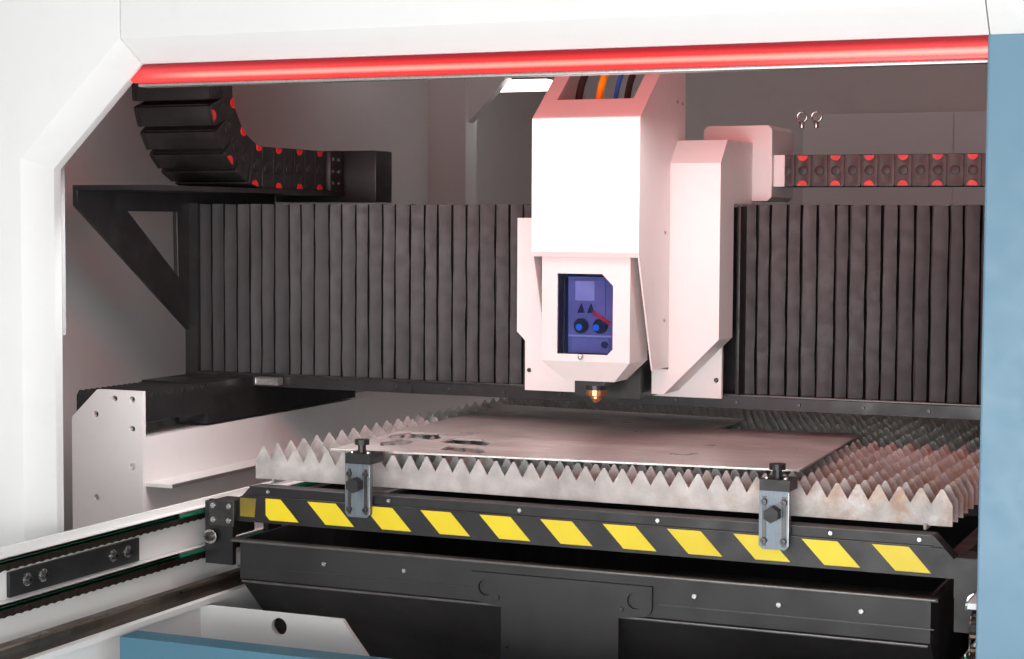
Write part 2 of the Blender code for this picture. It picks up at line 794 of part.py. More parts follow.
def light_bar():
    """Red light bar under the lintel: a rounded lens on a thin carrier lip."""
    top = DOORWAY_TOP - DOORWAY_BEVEL - TOUCH
    front = LIGHT_BAR_FRONT
    back = front + LIGHT_BAR_DEPTH
    bottom = top - LIGHT_BAR_HEIGHT
    half = LIGHT_BAR_HEIGHT / 2
    lens = [(back, top), (back, bottom - LIGHT_BAR_LIP_THICKNESS)]
    lens += [(front + LIGHT_BAR_LIP, bottom - LIGHT_BAR_LIP_THICKNESS), (front + LIGHT_BAR_LIP, bottom)]
    lens += arc(front + half, bottom + half, half, 270, 180, 5)[1:]
    lens += [(front, top)]
    bar = plate("light_bar", "X", LIGHT_BAR_LEFT, BLUE_PANEL_LEFT - TOUCH, lens)
    slant = Vector((DOORWAY_CORNER_WIDTH, DOORWAY_CORNER_HEIGHT)).normalized()
    inward = Vector((slant.y, -slant.x))
    start = Vector((DOORWAY_LEFT, DOORWAY_TOP - DOORWAY_CORNER_HEIGHT)) + inward * (DOORWAY_BEVEL + 2 * TOUCH)
    end = start + slant * (DOORWAY_CORNER_WIDTH + DOORWAY_CORNER_HEIGHT)
    outside = inward * -DOORWAY_CORNER_WIDTH
    region = [tuple(start), tuple(end), tuple(end + outside), tuple(start + outside)]
    return cut(bar, plate("corner", "Y", front - OVERRUN, back + OVERRUN, region))


def door_guide(name, edge, mouth_side, front):
    """Upright channel that guides one edge of the lift door."""
    slot_front = DOOR_FRONT - TOUCH
    slot_back = DOOR_FRONT + DOOR_THICKNESS + TOUCH
    floor = edge - mouth_side * TOUCH
    outer = edge - mouth_side * GUIDE_WALL
    mouth = edge + mouth_side * GUIDE_MOUTH
    back = slot_back + GUIDE_WALL
    outline = [(outer, front), (mouth, front), (mouth, slot_front), (floor, slot_front)]
    outline += [(floor, slot_back), (mouth, slot_back), (mouth, back), (outer, back)]
    return plate(name, "Z", GUIDE_BOTTOM, CABIN_HEIGHT - WALL, outline)


def lift_door():
    """Door leaf with a recessed window, raised behind the lintel."""
    back = DOOR_FRONT + DOOR_THICKNESS
    leaf = box("lift_door", (DOOR_LEFT, DOOR_FRONT, DOOR_BOTTOM), (DOOR_RIGHT, back, DOOR_BOTTOM + DOOR_HEIGHT))
    margin = DOOR_WINDOW_MARGIN
    low_x = DOOR_LEFT + margin
    high_x = DOOR_RIGHT - margin
    low_z = DOOR_BOTTOM + margin
    high_z = DOOR_BOTTOM + DOOR_HEIGHT - margin
    front_cut = box("cut", (low_x, DOOR_FRONT - OVERRUN, low_z), (high_x, DOOR_FRONT + DOOR_WINDOW_DEPTH, high_z))
    back_cut = box("cut", (low_x, back - DOOR_WINDOW_DEPTH, low_z), (high_x, back + OVERRUN, high_z))
    return cut(leaf, front_cut, back_cut)


# Bed

def side_beam():
    """Left long beam with its inner ledge and its holed end plate."""
    inner = -BEAM_INNER_X
    outer = inner - BEAM_WIDTH
    foot = BASE_HEIGHT + TOUCH
    ledge = inner + BEAM_LEDGE_WIDTH
    under = BEAM_LEDGE_Z - BEAM_LEDGE_THICKNESS
    outline = [(outer, foot), (inner, foot), (inner, under), (ledge, under), (ledge, BEAM_LEDGE_Z)]
    outline += [(inner, BEAM_LEDGE_Z), (inner, BEAM_TOP), (outer, BEAM_TOP)]
    beam = plate("side_beam_left", "Y", BEAM_START, BEAM_END, outline)
    corner_x = outer + END_PLATE_CORNER_WIDTH
    corner_z = END_PLATE_TOP - END_PLATE_CORNER_HEIGHT
    edge = inner + BITE
    face = [(outer, foot), (edge, foot), (edge, END_PLATE_TOP), (corner_x, END_PLATE_TOP), (outer, corner_z)]
    holes = [circle(outer + across * BEAM_WIDTH, END_PLATE_TOP * up, END_PLATE_HOLE_RADIUS,
                    SMALL_ROUND_STEPS) for across, up in END_PLATE_HOLE_SHARES]
    plate_start = BEAM_START - END_PLATE_THICKNESS
    end_plate = plate("end_plate", "Y", plate_start, BEAM_START + BITE, face, *holes)
    return join(beam, end_plate)


def guide_rail():
    """Left linear rail for the gantry, waisted like a rolled guide."""
    middle = -(BEAM_INNER_X + GUIDE_RAIL_INSET)
    half = GUIDE_RAIL_WIDTH / 2
    bottom = BEAM_TOP + TOUCH
    top = bottom + GUIDE_RAIL_HEIGHT
    waist = half * GUIDE_RAIL_WAIST_SHARE
    low_waist, high_waist = (bottom + GUIDE_RAIL_HEIGHT * share for share in GUIDE_RAIL_WAIST_SHARES)
    outline = [(middle - half, bottom), (middle + half, bottom), (middle + waist, low_waist)]
    outline += [(middle + waist, high_waist), (middle + half, top), (middle - half, top)]
    outline += [(middle - waist, high_waist), (middle - waist, low_waist)]
    return plate("guide_rail_left", "Y", BEAM_START + BITE + TOUCH, BEAM_END, outline)


def zigzag(first, last, near, far, pleat):
    """A folded line from first to last that swings between near and far."""
    folds = max(1, round(abs(last - first) / pleat))
    step = (last - first) / folds
    points = []
    for i in range(folds):
        points.append((first + i * step, far))
        points.append((first + (i + 0.5) * step, near))
    points.append((last, far))
    return points


def folded_band(line, thickness):
    """An outline that follows a folded line there and back."""
    back = [(u, v + thickness) for u, v in reversed(line)]
    return line + back


def way_bellows():
    """Left pleated cover between the end plate and the gantry's truck."""
    outer = -(BEAM_INNER_X + BEAM_WIDTH) + TRUCK_SIDE_GAP
    inner = -BEAM_INNER_X
    bottom = BEAM_TOP + GUIDE_RAIL_HEIGHT + 2 * TOUCH
    top = TRUCK_BOTTOM + WAY_PLEAT_HEIGHT
    start = BEAM_START + BITE + TOUCH
    ridge = zigzag(start, TRUCK_START - TOUCH, top, top - WAY_PLEAT_DEPTH, WAY_PLEAT)
    outline = ridge + [(TRUCK_START - TOUCH, bottom), (start, bottom)]
    return plate("way_bellows_left", "X", outer, inner, outline)


# Gantry

def gantry_truck():
    """Left end truck: an upturned trough over the linear rail."""
    outer = -(BEAM_INNER_X + BEAM_WIDTH) + TRUCK_SIDE_GAP
    inner = -BEAM_INNER_X
    middle = -(BEAM_INNER_X + GUIDE_RAIL_INSET)
    half = GUIDE_RAIL_WIDTH / 2 + TRUCK_SIDE_GAP
    slot_top = BEAM_TOP + GUIDE_RAIL_HEIGHT + 2 * TOUCH
    top = GANTRY_BEAM_BOTTOM - TOUCH
    bevel = TRUCK_BEVEL
    outline = [(outer, TRUCK_BOTTOM), (middle - half, TRUCK_BOTTOM), (middle - half, slot_top)]
    outline += [(middle + half, slot_top), (middle + half, TRUCK_BOTTOM), (inner, TRUCK_BOTTOM)]
    outline += [(inner, top - bevel), (inner - bevel, top), (outer + bevel, top), (outer, top - bevel)]
    truck = plate("gantry_truck_left", "Y", TRUCK_START, TRUCK_END, outline)
    low_x = outer - OVERRUN
    high_x = inner + OVERRUN
    apron_front = APRON_LIP_FRONT - TOUCH
    front = box("front", (low_x, TRUCK_START - OVERRUN, TRUCK_FRONT_TOP), (high_x, apron_front + BITE, top + OVERRUN))
    apron_room = box("room", (low_x, apron_front, APRON_BOTTOM - TOUCH),
                     (high_x, GANTRY_BEAM_FRONT, top + OVERRUN))
    end_room = box("room", (low_x, apron_front + BITE / 2, APRON_BOTTOM - TOUCH),
                   (-GANTRY_BEAM_HALF_LENGTH, TRUCK_END + OVERRUN, top + OVERRUN))
    return cut(truck, front, apron_room, end_room)


def gantry_beam():
    """Box beam between the trucks, with shallow ribs on its back."""
    half = GANTRY_BEAM_HALF_LENGTH
    front = GANTRY_BEAM_FRONT
    back = front + GANTRY_BEAM_DEPTH
    line = [(-half, front), (half, front), (half, back)]
    pitch = 2 * half / GANTRY_RIBS
    for i in range(GANTRY_RIBS):
        right = half - i * pitch
        line.append((right - pitch / 4, back))
        line.append((right - pitch / 4, back - GANTRY_RIB_DEPTH))
        line.append((right - 3 * pitch / 4, back - GANTRY_RIB_DEPTH))
        line.append((right - 3 * pitch / 4, back))
    line.append((-half, back))
    return plate("gantry_beam", "Z", GANTRY_BEAM_BOTTOM, GANTRY_BEAM_BOTTOM + GANTRY_BEAM_HEIGHT, line)


def gantry_apron():
    """Thin black front sheet of the gantry with the lip that holds the bellows."""
    back = GANTRY_BEAM_FRONT - TOUCH
    front = back - APRON_THICKNESS
    outline = [(APRON_LIP_FRONT, APRON_BOTTOM), (back, APRON_BOTTOM), (back, APRON_TOP)]
    outline += [(front, APRON_TOP), (front, APRON_LIP_TOP), (APRON_LIP_FRONT, APRON_LIP_TOP)]
    half = GANTRY_BEAM_HALF_LENGTH
    return plate("gantry_apron", "X", -half, half, outline)


def front_bellows(name, left, right):
    """Pleated curtain in front of the gantry's apron."""
    back = GANTRY_BEAM_FRONT - 2 * TOUCH - APRON_THICKNESS
    front = back - BELLOWS_DEPTH
    line = zigzag(left, right, front, back - BELLOWS_SKIN, BELLOWS_PLEAT)
    outline = folded_band(line, BELLOWS_SKIN)
    return plate(name, "Z", APRON_LIP_TOP + TOUCH, BELLOWS_TOP, outline)


def gantry_end(name, side):
    """Black end plate of the gantry."""
    inner = GANTRY_BEAM_HALF_LENGTH + TOUCH
    outer = inner + GANTRY_END_THICKNESS
    low_x, high_x = sorted((side * inner, side * outer))
    return box(name, (low_x, APRON_LIP_FRONT + BITE, APRON_BOTTOM),
               (high_x, GANTRY_BEAM_FRONT + GANTRY_BEAM_DEPTH, GANTRY_END_TOP))


def chain_sides():
    """Left and right faces of the long energy chain."""
    left = -(GANTRY_BEAM_HALF_LENGTH + GANTRY_END_THICKNESS) + BITE
    return left, left + CHAIN_WIDTH


def chain_bracket():
    """Left end plate with the shelf and the triangular gusset that carry the chain."""
    end = gantry_end("chain_bracket", -1)
    outer = -(GANTRY_BEAM_HALF_LENGTH + GANTRY_END_THICKNESS + TOUCH)
    shelf_bottom = SHELF_TOP - SHELF_THICKNESS
    shelf = box("shelf", (outer, SHELF_FRONT, shelf_bottom), (outer + SHELF_WIDTH, SHELF_END, SHELF_TOP))
    riser = box("riser", (outer, APRON_LIP_FRONT + BITE, GANTRY_END_TOP - BITE),
                (outer + GUSSET_THICKNESS, SHELF_END, shelf_bottom + BITE))
    foot_y = APRON_LIP_FRONT + 2 * BITE
    nose_z = SHELF_TOP - GUSSET_NOSE
    rise = (nose_z - GUSSET_FOOT_Z) / (foot_y - SHELF_FRONT)
    band = GUSSET_BAND
    outline = [(SHELF_FRONT, SHELF_TOP - BITE), (SHELF_FRONT, nose_z), (foot_y, GUSSET_FOOT_Z)]
    outline += [(foot_y, SHELF_TOP - BITE)]
    top_z = SHELF_TOP - band
    back_y = foot_y - band * GUSSET_SIDE_SHARE
    slope_shift = band * math.hypot(1, rise) * GUSSET_SLOPE_SHARE
    low_z = GUSSET_FOOT_Z + rise * (foot_y - back_y) + slope_shift
    front_y = back_y - (top_z - low_z) / rise
    hole = [(front_y, top_z), (back_y, low_z), (back_y, top_z)]
    gusset = plate("gusset", "X", outer, outer + GUSSET_THICKNESS, outline, hole)
    return join(end, riser, shelf, gusset)


def notched(line, pitch, depth):
    """Cut a shallow notch at each link joint of a closed chain outline's long sides."""
    points = []
    count = len(line)
    area = sum(line[i - 1][0] * line[i][1] - line[i][0] * line[i - 1][1] for i in range(count))
    turn = math.copysign(1, area)
    for i, start in enumerate(line):
        end = line[(i + 1) % count]
        run = Vector(end) - Vector(start)
        points.append(tuple(start))
        links = int(run.length / pitch)
        if links < 2:
            continue
        along = run.normalized()
        inward = Vector((-along.y, along.x)) * depth * turn
        for k in range(1, links):
            place = Vector(start) + run * (k / links)
            points.append(tuple(place - along * depth))
            points.append(tuple(place + inward))
            points.append(tuple(place + along * depth))
    return points


def looped_chain(bend_u, low_v, radius, thickness, low_end_u, high_end_u, turn_side, steps):
    """Outline of a chain that runs in, turns through half a circle and runs back above."""
    middle_v = low_v + thickness / 2 + radius
    outer = radius + thickness / 2
    inner = radius - thickness / 2
    if turn_side < 0:
        outer_arc = arc(bend_u, middle_v, outer, 90, 270, steps)
        inner_arc = arc(bend_u, middle_v, inner, 270, 90, steps)
    else:
        outer_arc = arc(bend_u, middle_v, outer, 90, -90, steps)
        inner_arc = arc(bend_u, middle_v, inner, -90, 90, steps)
    line = [(high_end_u, middle_v + outer)] + outer_arc + [(low_end_u, low_v)]
    line += [(low_end_u, low_v + thickness)] + inner_arc + [(high_end_u, middle_v + inner)]
    return line


def y_chain():
    """Energy chain from the gantry's shelf, up in front and back under the roof."""
    left, right = chain_sides()
    line = looped_chain(CHAIN_BEND_Y, SHELF_TOP + TOUCH, CHAIN_BEND_RADIUS, CHAIN_THICKNESS,
                        CHAIN_END_Y, CHAIN_FIXED_Y, -1, 10)
    return plate("y_chain", "X", left, right, notched(line, CHAIN_LINK, CHAIN_NOTCH))


def x_chain():
    """Energy chain from the carriage to the right, down and back along the beam's top."""
    beam_top = GANTRY_BEAM_BOTTOM + GANTRY_BEAM_HEIGHT
    low = beam_top + TOUCH
    radius = (X_CHAIN_TOP_Z - X_CHAIN_THICKNESS - low) / 2
    line = looped_chain(X_CHAIN_BEND_X, low, radius, X_CHAIN_THICKNESS,
                        X_CHAIN_FIXED_X, X_CHAIN_START, 1, 10)
    back = X_CHAIN_FRONT + X_CHAIN_WIDTH
    return plate("x_chain", "Y", X_CHAIN_FRONT, back, notched(line, CHAIN_LINK, CHAIN_NOTCH))


# Carriage and head

def carriage():
    """White carriage plate with a stepped left edge and the block that rides on the beam."""
    front = CARRIAGE_FRONT
    step = CARRIAGE_STEP
    outline = [(CARRIAGE_LEFT + step, CARRIAGE_BOTTOM), (CARRIAGE_RIGHT, CARRIAGE_BOTTOM)]
    outline += [(CARRIAGE_RIGHT, CARRIAGE_TOP), (CARRIAGE_LEFT, CARRIAGE_TOP), (CARRIAGE_LEFT, CARRIAGE_STEP_Z)]
    outline += [(CARRIAGE_LEFT + step, CARRIAGE_STEP_Z - step)]
    holes = [circle(x, z, CARRIAGE_HOLE_RADIUS, SMALL_ROUND_STEPS) for x, z in CARRIAGE_HOLE_PLACES]
    face = plate("carriage_plate", "Y", front, front + CARRIAGE_PLATE, outline, *holes)
    block = box("block", (CARRIAGE_BLOCK_LEFT, front + CARRIAGE_PLATE - BITE, CARRIAGE_BLOCK_BOTTOM),
                (CARRIAGE_BLOCK_RIGHT, GANTRY_BEAM_FRONT - APRON_THICKNESS - 2 * TOUCH, CARRIAGE_BLOCK_TOP))
    return join(face, block)


def head_cowl():
    """Folded white cowl over the head: sloped top with a cable slot, flared side skirts."""
    sheet = COWL_SHEET
    outline = [(COWL_FRONT, COWL_BOTTOM), (COWL_FRONT + COWL_SKIRT_STEP, COWL_SKIRT_Z)]
    outline += [(COWL_BACK, COWL_SKIRT_Z), (COWL_BACK, COWL_TOP)]
    outline += [(COWL_FRONT + COWL_SLOPE_DEPTH, COWL_TOP), (COWL_FRONT, COWL_KNEE_Z)]
    shell = plate("head_cowl", "X", COWL_LEFT, COWL_RIGHT, outline)
    inside = [(COWL_FRONT + sheet, COWL_SKIRT_Z - OVERRUN), (COWL_BACK + OVERRUN, COWL_SKIRT_Z - OVERRUN)]
    inside += [(COWL_BACK + OVERRUN, COWL_TOP - sheet), (COWL_FRONT + COWL_SLOPE_DEPTH + sheet, COWL_TOP - sheet)]
    inside += [(COWL_FRONT + sheet, COWL_KNEE_Z - sheet / 2)]
    hollow = plate("hollow", "X", COWL_LEFT + sheet, COWL_RIGHT - sheet, inside)
    rise = COWL_TOP - COWL_KNEE_Z
    slot_front = COWL_FRONT + COWL_SLOPE_DEPTH * COWL_SLOT_START_SHARE
    slot_low = COWL_KNEE_Z + rise * COWL_SLOT_START_SHARE - sheet
    slot = box("slot", (COWL_LEFT + COWL_SLOT_MARGIN, slot_front, slot_low),
               (COWL_RIGHT - COWL_SLOT_MARGIN, COWL_FRONT + COWL_SLOPE_DEPTH - sheet, COWL_TOP + OVERRUN))
    return cut(shell, hollow, slot)


def side_cowl():
    """Second white cowl to the right of the head, with a foot cut off aslant and a tab on its left."""
    left = COWL_RIGHT + TOUCH
    right = SIDE_COWL_RIGHT
    corner = SIDE_COWL_FOOT_CORNER
    low = SIDE_COWL_BOTTOM
    front = SIDE_COWL_FRONT
    over_apron = BELLOWS_TOP + BITE
    side = [(front, low), (CARRIAGE_FRONT - TOUCH, low), (CARRIAGE_FRONT - TOUCH, over_apron)]
    side += [(SIDE_COWL_BACK, over_apron), (SIDE_COWL_BACK, SIDE_COWL_TOP)]
    side += [(front + SIDE_COWL_SLOPE_DEPTH, SIDE_COWL_TOP), (front, SIDE_COWL_KNEE_Z)]
    body = plate("side_cowl", "X", SIDE_COWL_TAB_LEFT, right, side)
    face = [(SIDE_COWL_TAB_LEFT, low), (right - corner, low), (right, low + corner), (right, SIDE_COWL_TOP)]
    face += [(left, SIDE_COWL_TOP), (left, SIDE_COWL_TAB_TOP), (SIDE_COWL_TAB_LEFT, SIDE_COWL_TAB_TOP)]
    return keep(body, plate("face", "Y", front - OVERRUN, SIDE_COWL_BACK + OVERRUN, face))


def rear_box():
    """Box behind the cowls that reaches over the beam and holds the chain's moving end."""
    body = box("rear_box", (REAR_BOX_LEFT, REAR_BOX_FRONT, REAR_BOX_BOTTOM),
               (REAR_BOX_RIGHT, REAR_BOX_BACK, REAR_BOX_TOP))

    def long_edge(a, b):
        return abs(a.y - b.y) > REAR_BOX_BEVEL

    body = bevel_edges(body, long_edge, REAR_BOX_BEVEL)
    mount = box("mount", (REAR_BOX_RIGHT - BITE, X_CHAIN_FRONT, X_CHAIN_TOP_Z - X_CHAIN_THICKNESS),
                (REAR_BOX_RIGHT + X_CHAIN_MOUNT, X_CHAIN_FRONT + X_CHAIN_WIDTH, X_CHAIN_TOP_Z))
    return join(body, mount)


def window_outline(grow):
    """Window outline with its two cut corners, grown or shrunk by a margin."""
    left = WINDOW_LEFT - grow
    right = WINDOW_RIGHT + grow
    low = WINDOW_BOTTOM - grow
    high = WINDOW_TOP + grow
    corner = WINDOW_CORNER
    return [(left, low), (right - corner / 2, low), (right, low + corner / 2), (right, high - corner),
            (right - corner, high), (left, high)]


def head_cover():
    """Box cover round the cutting head, with a tapered foot and a window."""
    corner = HEAD_CORNER
    outline = [(HEAD_LEFT + corner, HEAD_BOTTOM), (HEAD_RIGHT - corner, HEAD_BOTTOM)]
    outline += [(HEAD_RIGHT, HEAD_BOTTOM + corner), (HEAD_RIGHT, HEAD_TOP), (HEAD_LEFT, HEAD_TOP)]
    outline += [(HEAD_LEFT, HEAD_BOTTOM + corner)]
    shell = plate("head_cover", "Y", HEAD_FRONT, HEAD_BACK, outline)
    slope = HEAD_FRONT + HEAD_FRONT_SLOPE
    side = [(slope, HEAD_BOTTOM), (HEAD_BACK - HEAD_BACK_SLOPE, HEAD_BOTTOM), (HEAD_BACK, HEAD_BOTTOM + corner)]
    side += [(HEAD_BACK, HEAD_TOP), (HEAD_FRONT, HEAD_TOP), (HEAD_FRONT, HEAD_BOTTOM + corner)]
    shell = keep(shell, plate("side", "X", HEAD_LEFT - OVERRUN, HEAD_RIGHT + OVERRUN, side))
    sheet = HEAD_SHEET
    left = HEAD_LEFT + sheet
    right = HEAD_RIGHT - sheet
    fold = HEAD_BOTTOM + corner + sheet
    inner = [(left + corner, HEAD_BOTTOM - OVERRUN), (right - corner, HEAD_BOTTOM - OVERRUN)]
    inner += [(right - corner, HEAD_BOTTOM + sheet), (right, fold), (right, HEAD_TOP - sheet)]
    inner += [(left, HEAD_TOP - sheet), (left, fold), (left + corner, HEAD_BOTTOM + sheet)]
    hollow = plate("hollow", "Y", HEAD_FRONT + sheet, HEAD_BACK + OVERRUN, inner)
    far = HEAD_BACK + OVERRUN
    low = HEAD_BOTTOM - OVERRUN
    inside = [(slope + sheet, low), (far, low), (far, HEAD_TOP), (HEAD_FRONT + sheet, HEAD_TOP)]
    inside += [(HEAD_FRONT + sheet, HEAD_BOTTOM + corner + sheet), (slope + sheet, HEAD_BOTTOM + sheet)]
    hollow = keep(hollow, plate("inside", "X", HEAD_LEFT - OVERRUN, HEAD_RIGHT + OVERRUN, inside))
    pane = plate("pane", "Y", HEAD_FRONT - OVERRUN, HEAD_FRONT + 2 * sheet, window_outline(0))
    return cut(shell, hollow, pane)


def safety_window():
    """Blue pane behind the cover's window."""
    back = HEAD_FRONT + HEAD_SHEET + TOUCH
    outline = window_outline(HEAD_SHEET)
    return plate("safety_window", "Y", back, back + WINDOW_THICKNESS, outline)


def cutting_head():
    """Cutting head inside the cover: stepped body, two knobs, a round nose, the slide and its foot block."""
    middle = (HEAD_BODY_LEFT + HEAD_BODY_RIGHT) / 2
    top = HEAD_TOP - HEAD_SHEET - TOUCH
    back = HEAD_BODY_BACK
    waist = (HEAD_BODY_RIGHT - HEAD_BODY_LEFT) / 4
    shoulder = HEAD_BOTTOM + HEAD_CORNER
    low = HEAD_BODY_BOTTOM + corner_drop()
    outline = [(middle - waist, low), (middle + waist, low)]
    outline += [(middle + waist, HEAD_BOTTOM + corner_drop()), (HEAD_BODY_RIGHT, shoulder)]
    outline += [(HEAD_BODY_RIGHT, HEAD_BODY_TOP), (middle + waist, top), (middle - waist, top)]
    outline += [(HEAD_BODY_LEFT, HEAD_BODY_TOP), (HEAD_BODY_LEFT, shoulder)]
    outline += [(middle - waist, HEAD_BOTTOM + corner_drop())]
    body = plate("cutting_head", "Y", HEAD_BODY_FRONT, back, outline)
    nose = cylinder("nose", "Z", (middle, NOZZLE_Y), NUT_RADIUS, HEAD_BODY_BOTTOM,
                    HEAD_BODY_BOTTOM + 3 * corner_drop())
    knobs = []
    for x in (middle - KNOB_SPREAD / 2, middle + KNOB_SPREAD / 2):
        knobs.append(cylinder("knob", "Y", (x, KNOB_Z), KNOB_RADIUS, HEAD_BODY_FRONT - KNOB_LENGTH,
                              HEAD_BODY_FRONT + BITE))
    carriage_side = CARRIAGE_FRONT - TOUCH
    slide = box("slide", (HEAD_BODY_LEFT + BITE, back - BITE, HEAD_SLIDE_BOTTOM),
                (HEAD_BODY_RIGHT - BITE, carriage_side, HEAD_SLIDE_TOP))
    foot = box("foot", (FOOT_BLOCK_LEFT, FOOT_BLOCK_FRONT, FOOT_BLOCK_BOTTOM),
               (FOOT_BLOCK_RIGHT, carriage_side - BITE, FOOT_BLOCK_TOP))
    web = box("web", (middle - waist, FOOT_BLOCK_FRONT + FOOT_BLOCK_WEB, FOOT_BLOCK_TOP - BITE),
              (middle + waist, carriage_side - FOOT_BLOCK_WEB, HEAD_SLIDE_BOTTOM + BITE))
    return join(body, nose, slide, foot, web, *knobs)


def corner_drop():
    """Height of the step at the foot of the cutting head."""
    return (HEAD_BOTTOM - HEAD_BODY_BOTTOM) / 2


def nozzle():
    """Turned nozzle: knurled nut above a copper cone."""
    middle = (HEAD_BODY_LEFT + HEAD_BODY_RIGHT) / 2
    top = HEAD_BODY_BOTTOM - TOUCH
    nut_bottom = top - NUT_HEIGHT
    collar_bottom = nut_bottom - NOZZLE_COLLAR_HEIGHT
    profile = [(0, top), (NUT_RADIUS, top), (NUT_RADIUS, nut_bottom), (NOZZLE_RADIUS, nut_bottom)]
    profile += [(NOZZLE_RADIUS, collar_bottom), (NOZZLE_TIP_RADIUS, NOZZLE_TIP_Z), (0, NOZZLE_TIP_Z)]
    shape = bmesh.new()
    line = [shape.verts.new((radius, 0, z)) for radius, z in profile]
    for a, b in zip(line, line[1:]):
        shape.edges.new((a, b))
    mesh = bpy.data.meshes.new("nozzle")
    shape.to_mesh(mesh)
    shape.free()
    turned = shape_object("nozzle", mesh)
    screw = turned.modifiers.new("Turn", "SCREW")
    screw.steps = ROUND_STEPS
    screw.render_steps = ROUND_STEPS
    screw.use_merge_vertices = True
    screw.merge_threshold = WELD
    solid = evaluated_mesh(turned)
    turned.modifiers.clear()
    turned.data = solid
    solid.transform(Matrix.Translation((middle, NOZZLE_Y, 0)))
    tidy(solid)
    return turned


# Pallet

def pallet_end():
    return PALLET_FRONT + PALLET_LENGTH


def pallet_frame():
    """Front and back beams, side beams, cross members, corner brackets and rollers."""
    half = PALLET_HALF_WIDTH
    corner = PALLET_CORNER
    top = PALLET_BEAM_TOP
    low = PALLET_BEAM_BOTTOM
    face = [(-half, low), (half, low), (half, top - corner), (half - corner, top), (-half + corner, top)]
    face += [(-half, top - corner)]
    frame = plate("pallet_frame", "Y", PALLET_FRONT, PALLET_FRONT + PALLET_BEAM_THICKNESS, face)
    rail = box("band", (-half - OVERRUN, PALLET_FRONT - OVERRUN, STRIPE_BAND_TOP),
               (half + OVERRUN, PALLET_FRONT + STRIPE_BAND_DEPTH, top + OVERRUN))
    frame = cut(frame, rail)
    back = plate("back", "Y", pallet_end() - PALLET_BEAM_THICKNESS, pallet_end(), face)
    pieces = [back]
    for side in (-1, 1):
        xs = sorted((side * (half - PALLET_SIDE_THICKNESS), side * half))
        pieces.append(box("side", (xs[0], PALLET_FRONT + BITE, low + BITE / 2),
                          (xs[1], pallet_end() - BITE, top - corner - BITE)))
        for front, inward in ((PALLET_FRONT, 1), (pallet_end(), -1)):
            pieces += bracket(side, front, inward)
    for y in spread(PALLET_FRONT, pallet_end(), PALLET_CROSS_MEMBERS + 2)[1:-1]:
        pieces.append(box("cross", (-half + BITE, y - PALLET_CROSS_WIDTH / 2, low + 2 * BITE),
                          (half - BITE, y + PALLET_CROSS_WIDTH / 2, low + PALLET_CROSS_HEIGHT)))
    return join(frame, *pieces)


def bracket(side, front, inward):
    """One corner bracket: upright plate, bolted block and the roller behind it."""
    inner = side * (PALLET_HALF_WIDTH - BITE)
    outer = side * BRACKET_OUTER_X
    low_x, high_x = sorted((inner, outer))
    shrink = side * BITE / 2
    block_x = sorted((inner - shrink, outer - shrink))
    ys = sorted((front, front + inward * BRACKET_THICKNESS))
    upright = box("bracket", (low_x, ys[0], BRACKET_BOTTOM), (high_x, ys[1], BRACKET_TOP))
    ys = sorted((front - inward * BITE, front + inward * BRACKET_BLOCK_DEPTH))
    block = box("block", (block_x[0], ys[0], BRACKET_TOP - BRACKET_BLOCK_HEIGHT),
                (block_x[1], ys[1], BRACKET_TOP - BITE))
    wheel_y = front + inward * ROLLER_INSET
    axle_z = RAIL_FLANGE_Z + TOUCH + RUN_RAIL_HEIGHT + TOUCH + ROLLER_RADIUS
    xs = (side * ROLLER_X - ROLLER_WIDTH / 2, side * ROLLER_X + ROLLER_WIDTH / 2)
    wheel = cylinder("roller", "X", (wheel_y, axle_z), ROLLER_RADIUS, xs[0], xs[1])
    hub_x = sorted((side * (PALLET_HALF_WIDTH - BITE), side * ROLLER_X))
    hub = cylinder("axle", "X", (wheel_y, axle_z), ROLLER_RADIUS / 3, hub_x[0], hub_x[1], SMALL_ROUND_STEPS)
    drop = box("drop", (sorted((inner, side * (PALLET_HALF_WIDTH - PALLET_SIDE_THICKNESS / 2)))[0],
                        wheel_y - ROLLER_RADIUS, axle_z - ROLLER_RADIUS / 2),
               (sorted((inner, side * (PALLET_HALF_WIDTH - PALLET_SIDE_THICKNESS / 2)))[1],
                wheel_y + ROLLER_RADIUS, PALLET_BEAM_BOTTOM + 2 * BITE))
    return [upright, block, wheel, hub, drop]


def slat_outline(tooth):
    """A serrated slat seen from the front: (x, z) points."""
    half = SLAT_HALF_LENGTH
    teeth = int(2 * half / tooth)
    pitch = 2 * half / teeth
    points = [(-half, SLAT_BOTTOM_Z), (half, SLAT_BOTTOM_Z)]
    for i in range(teeth, 0, -1):
        points.append((-half + i * pitch, SLAT_VALLEY_Z))
        points.append((-half + (i - 0.5) * pitch, SLAT_TIP_Z))
    points.append((-half, SLAT_VALLEY_Z))
    return points


def slat_grid():
    """Serrated slats held in two slotted comb strips."""
    combs = []
    slats = []
    first = PALLET_FRONT + PALLET_BEAM_THICKNESS / 2
    last = pallet_end() - PALLET_BEAM_THICKNESS / 2
    for x in (-COMB_X, COMB_X):
        combs.append(box("comb", (x - COMB_THICKNESS / 2, first, COMB_BOTTOM_Z),
                         (x + COMB_THICKNESS / 2, last, COMB_TOP_Z)))
    for i in range(SLAT_COUNT):
        y = SLAT_FIRST_Y + i * SLAT_SPACING
        outline = slat_outline(SLAT_TOOTH if i < FINE_SLATS else COARSE_TOOTH)
        slats.append(plate("slat", "Y", y, y + SLAT_THICKNESS, outline))
    grid = combs.pop(0)
    grid.name = "slat_grid"
    return flattened(join(grid, *combs, *slats))


def sheet_outline():
    """The partly cut sheet that lies on the slats: (x, y) points."""
    front_left = (-0.575, 0.49)
    front_right = (0.445, 0.60)
    back_right = (0.415, 1.28)
    notch_corner = (0.075, 1.25)
    notch_back = (0.075, 1.49)
    back_left = (-0.625, 1.55)
    return [front_left, front_right, back_right, notch_corner, notch_back, back_left]


